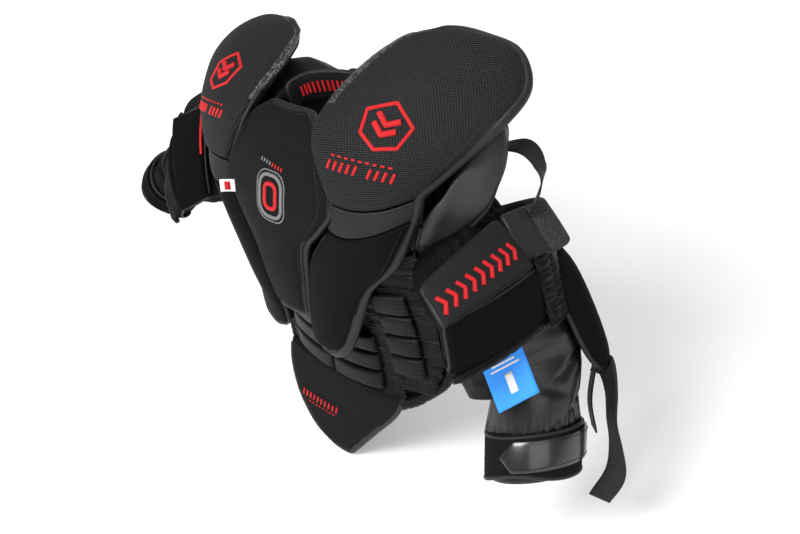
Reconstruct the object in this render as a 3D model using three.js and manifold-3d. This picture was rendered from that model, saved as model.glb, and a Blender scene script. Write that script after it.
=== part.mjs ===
// A lacrosse goalie's chest and arm protector, held up in its worn form.
// Millimetres: +X to the wearer's left, -Y to the front, +Z up, origin in the middle of the neck opening.
// Pieces of the wearer's left side are modelled once, and the right side is their mirror image.
import * as THREE from 'three';
import { mergeVertices } from 'three/addons/utils/BufferGeometryUtils.js';
import Module from 'manifold-3d';

const wasm = await Module();
wasm.setup();

// Driving sizes
const seatGap = 0.45;
const capThickness = 20;
const bandThickness = 17;
const plateThickness = 19;
const sternumThickness = 24;
const baseThickness = 10;
const floaterThickness = 11;
const yokeThickness = 14;
const collarThickness = 14;
const backThickness = 16;
const blockThickness = 16;
const flapThickness = 12;
const edgeRollRadius = 8;
const sleeveWall = 3;
const panelThickness = 30;
const elbowThickness = 36;
const gatherThickness = 12;
const wingThickness = 12;
const armBandThickness = 7;
const cuffWall = 5;
const strapThickness = 2.4;
const webbingWidth = 25;
const webbingThickness = 1.6;
const labelThickness = 1.2;

const radians = THREE.MathUtils.degToRad;
const spot = (x, y, z) => new THREE.Vector3(x, y, z);

// How each side hangs: the shoulder's height as a share, the arm's angles in degrees and the wing's fold
const sidePoses = {
  left: {
    capLift: 1, yokeLift: 0.9, shoulder: spot(150, 10, -30),
    abduct: 23.6, swing: 3, twist: 0, bend: 22.4, wingFold: 0, wingDraw: 1,
  },
  right: {
    capLift: 0.86, yokeLift: 0.4, shoulder: spot(150, 15, -40),
    abduct: 50, swing: 4, twist: 66, bend: 6, wingFold: 70, wingDraw: 0.86,
  },
};

const cloth = (color, roughness) => new THREE.MeshStandardMaterial({ color, roughness, metalness: 0 });
const finishes = {
  mesh: cloth(0x17181a, 0.85),
  plate: cloth(0x0f0f10, 0.8),
  slate: cloth(0x33373b, 0.6),
  nylon: cloth(0x141416, 0.55),
  suede: cloth(0x0d0d0e, 0.95),
  loop: cloth(0x1a1a1c, 1),
  leather: cloth(0x111111, 0.3),
  webbing: cloth(0x151516, 0.75),
  label: cloth(0x1976d2, 0.5),
  tag: cloth(0xe8e4e2, 0.6),
};

// Solids: closed bodies whose faces point out

function enclosed(points, triangles) {
  const geometry = new THREE.BufferGeometry();
  geometry.setAttribute('position', new THREE.Float32BufferAttribute(points.flatMap((p) => p.toArray()), 3));
  geometry.setIndex(triangles.flat());
  return facingOut(geometry);
}

function facingOut(geometry) {
  const place = geometry.attributes.position;
  const index = geometry.index.array;
  const corners = [spot(), spot(), spot()];
  let volume = 0;
  for (let i = 0; i < index.length; i += 3) {
    corners.forEach((corner, k) => corner.fromBufferAttribute(place, index[i + k]));
    volume += corners[0].dot(corners[1].clone().cross(corners[2]));
  }
  if (volume < 0) {
    for (let i = 0; i < index.length; i += 3) {
      [index[i], index[i + 1]] = [index[i + 1], index[i]];
    }
  }
  return geometry;
}

function placed(geometry, matrix) {
  return facingOut(geometry.clone().applyMatrix4(matrix));
}

function mirrored(geometry) {
  return placed(geometry, new THREE.Matrix4().makeScale(-1, 1, 1));
}

function solidOf(geometry) {
  return new wasm.Manifold(new wasm.Mesh({
    numProp: 3,
    vertProperties: new Float32Array(geometry.attributes.position.array),
    triVerts: new Uint32Array(geometry.index.array),
  }));
}

function geometryOf(solid) {
  const bodies = solid.decompose();
  const main = bodies.reduce((a, b) => (b.volume() > a.volume() ? b : a));
  const mesh = main.getMesh();
  const geometry = new THREE.BufferGeometry();
  geometry.setAttribute('position', new THREE.BufferAttribute(new Float32Array(mesh.vertProperties), 3));
  geometry.setIndex(new THREE.BufferAttribute(new Uint32Array(mesh.triVerts), 1));
  return geometry;
}

// The same body a little larger all round
function swollen(geometry, gap = seatGap) {
  const grown = geometry.clone();
  grown.computeVertexNormals();
  const place = grown.attributes.position;
  const normal = grown.attributes.normal;
  for (let i = 0; i < place.count; i += 1) {
    place.setXYZ(
      i,
      place.getX(i) + gap * normal.getX(i),
      place.getY(i) + gap * normal.getY(i),
      place.getZ(i) + gap * normal.getZ(i),
    );
  }
  grown.deleteAttribute('normal');
  return grown;
}

// A piece cut back so that it lies against its neighbours with a small gap
function seatedOn(geometry, neighbours) {
  const cut = (solid, neighbour) => solid.subtract(solidOf(swollen(neighbour))).subtract(solidOf(neighbour));
  return geometryOf(neighbours.reduce(cut, solidOf(geometry)));
}

function hollowed(outer, inner) {
  return geometryOf(solidOf(outer).subtract(solidOf(inner)));
}

// A body lofted through rings that have the same number of points
function loft(rings) {
  const count = rings[0].length;
  const points = rings.flat();
  const triangles = [];
  for (let r = 0; r + 1 < rings.length; r += 1) {
    for (let i = 0; i < count; i += 1) {
      const a = r * count + i;
      const b = r * count + ((i + 1) % count);
      triangles.push([a, b, b + count], [a, b + count, a + count]);
    }
  }
  const ends = [0, rings.length - 1];
  ends.forEach((r) => {
    const middle = rings[r].reduce((sum, p) => sum.add(p), spot(0, 0, 0)).divideScalar(count);
    points.push(middle);
    for (let i = 0; i < count; i += 1) {
      const edge = [r * count + i, r * count + ((i + 1) % count)];
      triangles.push(r === 0 ? [edge[1], edge[0], points.length - 1] : [edge[0], edge[1], points.length - 1]);
    }
  });
  return enclosed(points, triangles);
}

// A smooth line through a row's two edges and its middle
function acrossRow({ inner, middle, outer }) {
  const bend = middle.clone().multiplyScalar(2).addScaledVector(inner, -0.5).addScaledVector(outer, -0.5);
  return new THREE.QuadraticBezierCurve3(inner, bend, outer);
}

// Shares from 0 to 1 with a narrow step at each end, where the padding rolls over
function paddedShares(steps, roll) {
  const inside = Array.from({ length: steps + 1 }, (_, i) => roll + ((1 - 2 * roll) * i) / steps);
  return [0, ...inside, 1];
}

// A padded panel whose face passes through rows of inner edge, middle and outer edge. The face looks along
// the rows' order crossed with the way from inner to outer edge; a negative thickness turns it round.
function paddedPanel(rows, { thick, crown = 3, lift = 0, along = 6, across = 4, roll = 0.06, drop = 0.4 }) {
  const curves = rows.map(acrossRow);
  const downs = paddedShares(along, roll);
  const overs = paddedShares(across, roll);
  const columns = overs.map((t) => new THREE.CatmullRomCurve3(curves.map((curve) => curve.getPoint(t))));
  const face = downs.map((s) => columns.map((column) => column.getPoint(s)));
  const last = [downs.length - 1, overs.length - 1];
  const at = (i, j) => face[Math.min(Math.max(i, 0), last[0])][Math.min(Math.max(j, 0), last[1])];
  const swell = (share) => 1 - (2 * share - 1) ** 4;
  const front = [];
  const back = [];
  downs.forEach((s, i) => overs.forEach((t, j) => {
    const sideways = at(i, j + 1).clone().sub(at(i, j - 1));
    const normal = at(i + 1, j).clone().sub(at(i - 1, j)).cross(sideways).normalize();
    const edge = i === 0 || j === 0 || i === last[0] || j === last[1];
    const rise = lift + (edge ? -drop * thick : crown * swell(s) * swell(t));
    const depth = (edge ? 0.9 * thick : thick) - lift;
    front.push(face[i][j].clone().addScaledVector(normal, rise));
    back.push(face[i][j].clone().addScaledVector(normal, -depth));
  }));
  const width = overs.length;
  const triangles = [];
  for (let i = 0; i < last[0]; i += 1) {
    for (let j = 0; j < last[1]; j += 1) {
      const a = i * width + j;
      const [b, c, d] = [a + 1, a + width + 1, a + width];
      triangles.push([a, b, c], [a, c, d]);
      triangles.push(...[[a, c, b], [a, d, c]].map((corner) => corner.map((k) => k + front.length)));
    }
  }
  const rim = [];
  for (let j = 0; j < last[1]; j += 1) rim.push(j);
  for (let i = 0; i < last[0]; i += 1) rim.push(i * width + last[1]);
  for (let j = last[1]; j > 0; j -= 1) rim.push(last[0] * width + j);
  for (let i = last[0]; i > 0; i -= 1) rim.push(i * width);
  rim.forEach((a, k) => {
    const b = rim[(k + 1) % rim.length];
    triangles.push([b, a, a + front.length], [b, a + front.length, b + front.length]);
  });
  return enclosed([...front, ...back], triangles);
}

// Rows of a panel that is the same on both sides of the middle, its face turned to the front or the back
function evenRows(table) {
  return table.map(({ z, half, middle, edge }) => ({
    inner: spot(-half, edge, z),
    middle: spot(0, middle, z),
    outer: spot(half, edge, z),
  }));
}

// A flat webbing strap along a curve: each point of its route also gives the way its width lies
function webbing(route, { width = webbingWidth, thick = webbingThickness, steps = 16 }) {
  const line = new THREE.CatmullRomCurve3(route.map(({ at }) => at));
  const lies = new THREE.CatmullRomCurve3(route.map(({ lie }) => lie.clone().normalize()));
  const rings = Array.from({ length: steps + 1 }, (_, i) => {
    const share = i / steps;
    const centre = line.getPoint(share);
    const over = line.getTangent(share);
    const side = lies.getPoint(share).addScaledVector(over, -over.dot(lies.getPoint(share))).normalize();
    const up = over.clone().cross(side);
    const corner = (a, b) => centre.clone()
      .addScaledVector(side, (a * width) / 2)
      .addScaledVector(up, (b * thick) / 2);
    return [corner(-1, -1), corner(1, -1), corner(1, 1), corner(-1, 1)];
  });
  return loft(rings);
}

// Torso, middle pieces

const baseRows = evenRows([
  { z: -6, half: 96, middle: -36, edge: -28 },
  { z: -45, half: 128, middle: -62, edge: -40 },
  { z: -90, half: 150, middle: -76, edge: -42 },
  { z: -140, half: 160, middle: -80, edge: -36 },
  { z: -200, half: 165, middle: -66, edge: -20 },
  { z: -250, half: 168, middle: -48, edge: -8 },
  { z: -310, half: 164, middle: -37, edge: -4 },
  { z: -346, half: 140, middle: -36, edge: -12 },
  { z: -370, half: 108, middle: -36, edge: -22 },
]);
const chestBase = paddedPanel(baseRows, { thick: baseThickness, crown: 0, along: 8, across: 6, roll: 0.03 });

const sternumRows = evenRows([
  { z: 5, half: 36, middle: -55, edge: -52 },
  { z: -12, half: 63, middle: -71, edge: -65 },
  { z: -45, half: 84, middle: -90, edge: -80 },
  { z: -82, half: 99, middle: -101, edge: -92 },
  { z: -112, half: 78, middle: -105, edge: -97 },
  { z: -140, half: 53, middle: -106, edge: -101 },
  { z: -190, half: 42, middle: -104, edge: -99 },
  { z: -242, half: 31, middle: -99, edge: -96 },
]);
const sternumPad = seatedOn(
  paddedPanel(sternumRows, { thick: sternumThickness, crown: 4, along: 8, across: 4 }),
  [chestBase],
);

const backRows = evenRows([
  { z: -6, half: 58, middle: 90, edge: 88 },
  { z: -60, half: 108, middle: 98, edge: 90 },
  { z: -150, half: 134, middle: 102, edge: 84 },
  { z: -260, half: 128, middle: 100, edge: 80 },
  { z: -330, half: 104, middle: 94, edge: 80 },
]);
const backPanel = paddedPanel(backRows, { thick: -backThickness, crown: -2, along: 4, across: 4 });

// Torso, pieces of one side

// Rows moved nearer to a level, for a shoulder that sits lower
function settled(rows, level, share) {
  const settle = ({ x, y, z }) => spot(x, y, level + (z - level) * share);
  return rows.map(({ inner, middle, outer }) => ({
    inner: settle(inner),
    middle: settle(middle),
    outer: settle(outer),
  }));
}

const capRows = [
  { inner: spot(93, -90, -73), middle: spot(150, -82, -71), outer: spot(187, -40, -60) },
  { inner: spot(67, -77, -14), middle: spot(150, -62, -27), outer: spot(208, 0, -29) },
  { inner: spot(66, -49, 18), middle: spot(152, -27, 8), outer: spot(231, 35, 3) },
  { inner: spot(73, -11, 40), middle: spot(162, 7, 38), outer: spot(232, 75, 27) },
  { inner: spot(88, 33, 63), middle: spot(164, 43, 63), outer: spot(212, 90, 54) },
  { inner: spot(110, 55, 70), middle: spot(148, 69, 74), outer: spot(184, 89, 62) },
];
const bandRows = [
  { inner: spot(94, -87, -75), middle: spot(150, -79, -73), outer: spot(186, -38, -62) },
  { inner: spot(96, -91, -92), middle: spot(148, -84, -90), outer: spot(181, -42, -82) },
  { inner: spot(91, -93, -103), middle: spot(140, -88, -104), outer: spot(180, -43, -100) },
];
const plateRows = [
  { inner: spot(91, -93, -104), middle: spot(140, -88, -105), outer: spot(180, -43, -101) },
  { inner: spot(55, -98, -156), middle: spot(106, -93, -152), outer: spot(152, -51, -148) },
  { inner: spot(34, -95, -223), middle: spot(79, -92, -211), outer: spot(116, -65, -188) },
  { inner: spot(26, -90, -271), middle: spot(62, -88, -258), outer: spot(97, -75, -234) },
  { inner: spot(43, -87, -290), middle: spot(62, -87, -289), outer: spot(81, -83, -272) },
];
const yokeRows = [
  { inner: spot(62, -44, -16), middle: spot(90, -42, -16), outer: spot(122, -36, -20) },
  { inner: spot(64, -20, 8), middle: spot(94, -18, 12), outer: spot(130, -10, 12) },
  { inner: spot(66, 16, 26), middle: spot(96, 18, 40), outer: spot(132, 22, 46) },
  { inner: spot(64, 52, 24), middle: spot(94, 56, 42), outer: spot(128, 58, 52) },
  { inner: spot(60, 78, -4), middle: spot(88, 82, 8), outer: spot(118, 84, 14) },
  { inner: spot(57, 84, -40), middle: spot(84, 88, -38), outer: spot(110, 88, -40) },
];
const floaterRows = [
  { inner: spot(174, -33, -98), middle: spot(171, -35, -112), outer: spot(163, -34, -136) },
  { inner: spot(198, -17, -60), middle: spot(196, -22, -90), outer: spot(186, -16, -129) },
  { inner: spot(208, 9, -41), middle: spot(215, 2, -72), outer: spot(212, -2, -108) },
  { inner: spot(216, 33, -28), middle: spot(225, 25, -53), outer: spot(225, 19, -83) },
  { inner: spot(214, 54, -17), middle: spot(222, 49, -34), outer: spot(222, 46, -50) },
  { inner: spot(206, 68, -15), middle: spot(210, 67, -23), outer: spot(210, 66, -32) },
];

const sideShapes = {
  cap: { thick: -capThickness, crown: -5, lift: -6, along: 7, across: 5 },
  band: { thick: bandThickness, crown: 0, along: 2, across: 5 },
  plate: { thick: plateThickness, crown: 2, along: 5, across: 3 },
  yoke: { thick: -yokeThickness, crown: -1, along: 6, across: 3 },
  floater: { thick: -floaterThickness, crown: -2, along: 6, across: 3 },
};
function torsoSide({ capLift, yokeLift }, [sternum, base, back]) {
  const cap = seatedOn(
    paddedPanel(settled(capRows, -72, capLift), sideShapes.cap),
    [sternum, base],
  );
  const band = seatedOn(
    paddedPanel(bandRows, sideShapes.band),
    [cap, sternum, base],
  );
  const plate = seatedOn(
    paddedPanel(plateRows, sideShapes.plate),
    [band, sternum, base],
  );
  const yoke = seatedOn(
    paddedPanel(settled(yokeRows, -20, yokeLift), sideShapes.yoke),
    [cap, base, sternum, back],
  );
  const floater = seatedOn(
    paddedPanel(settled(floaterRows, -72, capLift), sideShapes.floater),
    [cap, band, plate, base],
  );
  return { cap, band, plate, yoke, floater };
}
const middlePieces = {
  left: [sternumPad, chestBase, backPanel],
  right: [sternumPad, chestBase, backPanel].map(mirrored),
};
const torso = {
  left: torsoSide(sidePoses.left, middlePieces.left),
  right: torsoSide(sidePoses.right, middlePieces.right),
};

// The collar runs round the back of the neck opening, its face turned to the neck
const collarTable = [
  { x: -66, y: -8, top: 0 },
  { x: -62, y: 20, top: 6 },
  { x: -40, y: 46, top: 5 },
  { x: 0, y: 57, top: 3 },
  { x: 40, y: 46, top: 5 },
  { x: 62, y: 20, top: 6 },
  { x: 66, y: -8, top: 0 },
];
const collarRows = collarTable.map(({ x, y, top }) => ({
  inner: spot(x, y, top),
  middle: spot(0.96 * x, 0.96 * y, top - 18),
  outer: spot(0.95 * x, 0.95 * y, top - 36),
}));
const neckCollar = seatedOn(
  paddedPanel(collarRows, { thick: -collarThickness, crown: -2, along: 8, across: 2 }),
  [torso.left.yoke, mirrored(torso.right.yoke), backPanel, chestBase, sternumPad],
);

// Belly: rows of sewn blocks on the base, a padded roll at the side and a pointed flap below

const bellyRise = 15;
const baseFace = (x, z) => {
  const above = baseRows.findIndex((row) => row.inner.z < z);
  const [upper, lower] = [baseRows[above - 1], baseRows[above]];
  const share = (upper.inner.z - z) / (upper.inner.z - lower.inner.z);
  const depth = ({ middle, outer }) => middle.y + (outer.y - middle.y) * (x / outer.x) ** 2;
  return THREE.MathUtils.lerp(depth(upper), depth(lower), share);
};
function bellyBlock({ left, right, top, height, slope = 0 }) {
  const row = (z) => {
    const at = (x, sink) => spot(x, baseFace(x, z) - bellyRise + sink, z + slope * (x - left));
    return { inner: at(left, 2), middle: at((left + right) / 2, 0), outer: at(right, 2) };
  };
  const rows = [row(top), row(top - height / 2), row(top - height)];
  const block = paddedPanel(rows, { thick: blockThickness + 2, crown: 4, along: 2, across: 2, roll: 0.1 });
  return seatedOn(block, [chestBase, torso.left.plate, sternumPad]);
}
const bellyTable = {
  row: { left: 0.5, right: 86, top: -277, height: 27.5, pitch: 28.5, count: 3, slope: 0.06 },
  side: { left: 104, right: 148, top: -196, height: 30, pitch: 32, count: 4, slope: 0.05 },
};
const bellyBlocks = Object.fromEntries(Object.entries(bellyTable).map(([kind, size]) => [
  kind,
  Array.from({ length: size.count }, (_, i) => bellyBlock({ ...size, top: size.top - i * size.pitch })),
]));

const rollRoute = new THREE.CatmullRomCurve3([
  spot(164, -13, -185),
  spot(166, -4, -235),
  spot(167, 2, -290),
  spot(157, 0, -328),
  spot(138, -10, -350),
  spot(119, -20, -366),
]);
const roundSection = (radius, sides) => new THREE.Shape(
  Array.from({ length: sides }, (_, i) => {
    const turn = (2 * Math.PI * i) / sides;
    return new THREE.Vector2(radius * Math.cos(turn), radius * Math.sin(turn));
  }),
);
function tubeAlong(route, radius, steps, sides) {
  const settings = { extrudePath: route, steps, curveSegments: 1 };
  const tube = new THREE.ExtrudeGeometry(roundSection(radius, sides), settings);
  tube.deleteAttribute('normal');
  tube.deleteAttribute('uv');
  return facingOut(mergeVertices(tube));
}
const bellyEdge = seatedOn(tubeAlong(rollRoute, edgeRollRadius, 8, 6), [chestBase, ...bellyBlocks.side]);

const flapRows = evenRows([
  { z: -362, half: 114, middle: -46, edge: -34 },
  { z: -395, half: 95, middle: -48, edge: -39 },
  { z: -435, half: 60, middle: -50, edge: -45 },
  { z: -472, half: 28, middle: -52, edge: -50 },
  { z: -493, half: 9, middle: -54, edge: -53 },
]);
const flapSides = [...bellyBlocks.row, bellyEdge];
const flapNeighbours = [chestBase, ...flapSides, ...flapSides.map(mirrored)];
const bellyFlap = seatedOn(
  paddedPanel(flapRows, { thick: flapThickness, crown: 2, along: 4, across: 4 }),
  flapNeighbours,
);

// Arms, in a frame of their own: hanging down -Z from the shoulder, +X out, +Y to the back

const elbowDrop = -222;
const sleeveEnd = -312;
const cuffEnd = -356;
const sleeveTable = [
  { z: 30, x: -8, y: 16, wide: 30, deep: 38 },
  { z: -60, x: -8, y: 18, wide: 31, deep: 43 },
  { z: -98, x: -5, y: 10, wide: 39, deep: 60 },
  { z: -128, x: 2, y: 4, wide: 46, deep: 72 },
  { z: -187, x: 8, y: 10, wide: 52, deep: 72 },
  { z: elbowDrop, x: 12, y: 30, wide: 51, deep: 64 },
  { z: -262, x: 11, y: 50, wide: 50, deep: 55 },
  { z: cuffEnd - 10, x: 9, y: 50, wide: 49, deep: 51 },
];

const ringSides = 16;

function armShape(bend) {
  const spread = new THREE.CatmullRomCurve3(sleeveTable.map(({ wide, deep, z }) => spot(wide, deep, z)));
  const forward = (z) => (z < elbowDrop ? Math.tan(radians(bend)) * (z - elbowDrop) : 0);
  const centres = new THREE.CatmullRomCurve3(sleeveTable.map(({ x, y, z }) => spot(x, y + forward(z), z)));
  const shareAt = (z) => {
    const next = Math.max(1, sleeveTable.findIndex((row) => row.z <= z));
    const [upper, lower] = [sleeveTable[next - 1], sleeveTable[next]];
    return (next - 1 + (upper.z - z) / (upper.z - lower.z)) / (sleeveTable.length - 1);
  };
  const onSkin = (z, turn, rise = 0) => {
    const centre = centres.getPoint(shareAt(z));
    const size = spread.getPoint(shareAt(z));
    const angle = radians(turn);
    const out = spot((size.x + rise) * Math.cos(angle), (size.y + rise) * Math.sin(angle), 0);
    return spot(centre.x + out.x, centre.y + out.y, z);
  };
  const turns = Array.from({ length: ringSides }, (_, i) => (360 * i) / ringSides);
  const ring = (z, rise) => turns.map((turn) => onSkin(z, turn, rise));
  return { onSkin, ring };
}

const strapLevel = -331;
const strapWidth = 29;
const strapRise = 3;

const guardRise = Math.tan(radians(13));
const guards = {
  panel: { centre: spot(66, -42, -128), tilt: 24.6, half: 59, rows: [-28, 0, 28], sinks: [0, 0, 0] },
  elbow: { centre: spot(76, -32, -184), tilt: -23.6, half: 64, rows: [-27, 0, 27, 43], sinks: [0, 0, 0, 13] },
};
function guardRows({ centre, tilt, half, rows, sinks }) {
  const out = spot(Math.cos(radians(tilt)), 0, Math.sin(radians(tilt)));
  const down = spot(Math.sin(radians(tilt)), 0, -Math.cos(radians(tilt)));
  return rows.map((v, i) => {
    const at = (u, sink) => centre.clone()
      .addScaledVector(down, v)
      .addScaledVector(out, -sinks[i] - sink)
      .add(spot(0, u, u * guardRise));
    return { inner: at(-half, 7), middle: at(0, 0), outer: at(half, 7) };
  });
}

const gatherRows = [-158, -190, -222, -238].map((z, i) => ({
  inner: spot(66 - i, 20, z),
  middle: spot(62 - i, 36, z + 2),
  outer: spot(50 - i, 52, z + 6),
}));
const wingRows = [
  { inner: spot(52, 50, -146), middle: spot(44, 72, -142), outer: spot(14, 86, -138) },
  { inner: spot(57, 53, -175), middle: spot(50, 77, -172), outer: spot(16, 92, -168) },
  { inner: spot(61, 56, -215), middle: spot(54, 81, -215), outer: spot(16, 97, -214) },
  { inner: spot(64, 62, -258), middle: spot(57, 83, -262), outer: spot(24, 100, -262) },
  { inner: spot(64, 72, -282), middle: spot(57, 85, -287), outer: spot(36, 98, -286) },
];

function armMatrix({ shoulder, abduct, swing, twist }) {
  const turn = new THREE.Euler(-radians(swing), -radians(abduct), -radians(twist), 'YXZ');
  return new THREE.Matrix4().makeRotationFromEuler(turn).setPosition(shoulder);
}

// The part of the tube that the armhole leaves open, on the side of the body
function armholeCutter(twist) {
  const cutter = new THREE.BoxGeometry(160, 320, 260);
  cutter.deleteAttribute('normal');
  cutter.deleteAttribute('uv');
  const slant = new THREE.Matrix4().makeRotationY(radians(38.5));
  const place = new THREE.Matrix4().makeTranslation(-80, 0, 0).premultiply(slant);
  place.premultiply(new THREE.Matrix4().makeTranslation(-17, 0, -38));
  place.premultiply(new THREE.Matrix4().makeRotationZ(radians(twist)));
  return placed(mergeVertices(cutter), place);
}

const armShapes = {
  panel: { thick: panelThickness, crown: 2, along: 3, across: 3, drop: 0.2 },
  elbow: { thick: elbowThickness, crown: 2, along: 4, across: 3, drop: 0.2 },
  band: { thick: -armBandThickness - 8, crown: 0, along: 5, across: 1 },
  gather: { thick: gatherThickness, crown: 1, lift: 8, along: 3, across: 2 },
  wing: { thick: wingThickness, crown: 1, lift: 8, along: 4, across: 3 },
  strap: { thick: -strapThickness, crown: 0, along: 10, across: 1, roll: 0.03, drop: 0.05 },
};
function armPieces(pose, { cap, band, plate, yoke, floater }, [, ...middle]) {
  const { onSkin, ring } = armShape(pose.bend);
  const toArm = armMatrix(pose).invert();
  const neighbours = [cap, floater, yoke, band, plate, ...middle].map((piece) => placed(piece, toArm));
  const tube = (levels, rise) => loft(levels.map((z) => ring(z, rise)));
  const levels = [14, -60, -98, -128, -187, elbowDrop, -262, sleeveEnd];
  const outer = tube(levels, 0);
  const inner = tube([16, ...levels.slice(1, -1), sleeveEnd - 2], -sleeveWall);
  const sleeveSolid = seatedOn(outer, neighbours);
  const open = solidOf(sleeveSolid).subtract(solidOf(inner)).subtract(solidOf(armholeCutter(pose.twist)));
  const sleeve = geometryOf(open);
  const panel = seatedOn(
    paddedPanel(guardRows(guards.panel), armShapes.panel),
    [outer, ...neighbours],
  );
  const elbow = seatedOn(
    paddedPanel(guardRows(guards.elbow), armShapes.elbow),
    [outer, panel, ...neighbours],
  );
  const bandRow = (turn) => {
    const rise = armBandThickness + 3 + 12 * Math.sin(radians(turn)) ** 2;
    const [inner, middle, outerEdge] = [-90, -115, -140].map((z) => onSkin(z, turn, rise));
    return { inner, middle, outer: outerEdge };
  };
  const loopBand = seatedOn(
    paddedPanel([14, 40, 66, 92, 118, 144].map(bandRow), armShapes.band),
    [outer, panel, elbow, ...neighbours],
  );
  const gather = seatedOn(
    paddedPanel(gatherRows, armShapes.gather),
    [outer, elbow, panel, loopBand],
  );
  const fold = ({ x, y, z }) => spot(x - 8, y - 10, 0)
    .applyAxisAngle(spot(0, 0, 1), radians(pose.wingFold))
    .multiplyScalar(pose.wingDraw)
    .add(spot(8, 10, z));
  const foldedRows = wingRows.map(({ inner, middle, outer: far }) => ({
    inner: fold(inner),
    middle: fold(middle),
    outer: fold(far),
  }));
  const wing = seatedOn(
    paddedPanel(foldedRows, armShapes.wing),
    [outer, gather, loopBand, elbow, panel],
  );
  const cuffLevels = [sleeveEnd - seatGap, cuffEnd];
  const cuffOuter = tube(cuffLevels, 2);
  const cuff = hollowed(cuffOuter, tube([sleeveEnd + 2, cuffEnd - 2], 2 - cuffWall));
  const strapRow = (turn, i) => {
    const half = i === 0 ? 1.5 : strapWidth / 2;
    const at = (z) => onSkin(z, turn, strapRise + strapThickness);
    return { inner: at(strapLevel + half), middle: at(strapLevel), outer: at(strapLevel - half) };
  };
  const strapTurns = [-88, -66, -40, -10, 20, 50, 80, 110];
  const strap = seatedOn(paddedPanel(strapTurns.map(strapRow), armShapes.strap), [cuffOuter]);
  return { sleeve, panel, elbow, loopBand, gather, wing, cuff, strap, outer };
}
const arms = {
  left: armPieces(sidePoses.left, torso.left, middlePieces.left),
  right: armPieces(sidePoses.right, torso.right, middlePieces.right),
};

// Straps, label and tag, in the part's own frame

const leftArm = Object.fromEntries(
  Object.entries(arms.left).map(([name, geometry]) => [name, placed(geometry, armMatrix(sidePoses.left))]),
);
const elbowStrap = seatedOn(webbing([
  { at: spot(312, 86, -277), lie: spot(0.3, 0.9, -0.2) },
  { at: spot(328, 80, -272), lie: spot(0.45, 0.75, 0.2) },
  { at: spot(342, 70, -292), lie: spot(0.8, 0.2, 0.4) },
  { at: spot(350, 61, -322), lie: spot(0.75, -0.6, 0.2) },
  { at: spot(360, 56, -352), lie: spot(0.75, -0.6, 0.2) },
  { at: spot(364, 50, -384), lie: spot(0.9, -0.2, 0.3) },
  { at: spot(348, 44, -426), lie: spot(0.85, 0.45, 0.1) },
], { steps: 14 }), [leftArm.wing, leftArm.outer]);
const keeperStrap = seatedOn(webbing([
  { at: spot(312, 82, -268), lie: spot(0.66, -0.55, 0.5) },
  { at: spot(317, 66, -312), lie: spot(0.66, -0.55, 0.5) },
  { at: spot(325, 64, -350), lie: spot(0.66, -0.55, 0.5) },
], { width: 20, steps: 5 }), [leftArm.wing, leftArm.outer, elbowStrap]);
const shoulderLoop = seatedOn(webbing([
  { at: spot(202, 66, -38), lie: spot(0, 1, 0) },
  { at: spot(226, 75, -37), lie: spot(-0.2, 0.8, 0.3) },
  { at: spot(243, 75, -50), lie: spot(-0.4, 0.8, 0.3) },
  { at: spot(250, 71, -70), lie: spot(-0.5, 0.8, 0.2) },
  { at: spot(238, 62, -114), lie: spot(-0.5, 0.8, 0.1) },
], { width: 22, steps: 10 }), [torso.left.floater, leftArm.loopBand, leftArm.outer, torso.left.cap]);

const labelSize = { width: 47, height: 53 };
const labelCentre = spot(292.6, -31.8, -241.5);
const labelAcross = spot(0.448, 0.832, 0.325);
const labelDown = spot(0.533, -0.113, -0.838);
const labelRows = [-0.5, 0, 0.5].map((v) => {
  const at = (u) => labelCentre.clone()
    .addScaledVector(labelDown, v * labelSize.height)
    .addScaledVector(labelAcross, u * labelSize.width);
  return { inner: at(-0.5), middle: at(0), outer: at(0.5) };
});
const labelShape = { thick: labelThickness, crown: 0, along: 2, across: 2, roll: 0.03, drop: 0.1 };
const sizeLabel = paddedPanel(labelRows, labelShape);

const tagRows = [0, 0.5, 1].map((v) => {
  const at = (u) => spot(-98 - 15 * u - 3 * v, -97 + 2 * u, -98 - 5 * u - 9 * v);
  return { inner: at(0), middle: at(0.5), outer: at(1) };
});
const sideTag = paddedPanel(tagRows, labelShape);

// The protector, piece by piece

function piece(name, geometry, finish) {
  const shown = new THREE.Mesh(geometry, finish);
  shown.name = name;
  return shown;
}

const torsoPieces = (side) => [
  piece(`shoulder_cap_${side}`, torso[side].cap, finishes.mesh),
  piece(`cap_band_${side}`, torso[side].band, finishes.slate),
  piece(`chest_plate_${side}`, torso[side].plate, finishes.plate),
  piece(`shoulder_yoke_${side}`, torso[side].yoke, finishes.nylon),
  piece(`shoulder_floater_${side}`, torso[side].floater, finishes.nylon),
  piece(`belly_edge_${side}`, bellyEdge, finishes.nylon),
  ...bellyBlocks.row.map((block, i) => piece(`belly_row_${side}_${i + 1}`, block, finishes.nylon)),
  ...bellyBlocks.side.map((block, i) => piece(`belly_side_${side}_${i + 1}`, block, finishes.nylon)),
];

function armOf(side) {
  const made = arms[side];
  const arm = new THREE.Group();
  arm.applyMatrix4(armMatrix(sidePoses[side]));
  arm.add(
    piece(`arm_sleeve_${side}`, made.sleeve, finishes.nylon),
    piece(`upper_arm_panel_${side}`, made.panel, finishes.mesh),
    piece(`arm_band_${side}`, made.loopBand, finishes.loop),
    piece(`elbow_block_${side}`, made.elbow, finishes.suede),
    piece(`elbow_gather_${side}`, made.gather, finishes.nylon),
    piece(`elbow_wing_${side}`, made.wing, finishes.suede),
    piece(`wrist_cuff_${side}`, made.cuff, finishes.loop),
    piece(`wrist_strap_${side}`, made.strap, finishes.leather),
  );
  return arm;
}

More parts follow.
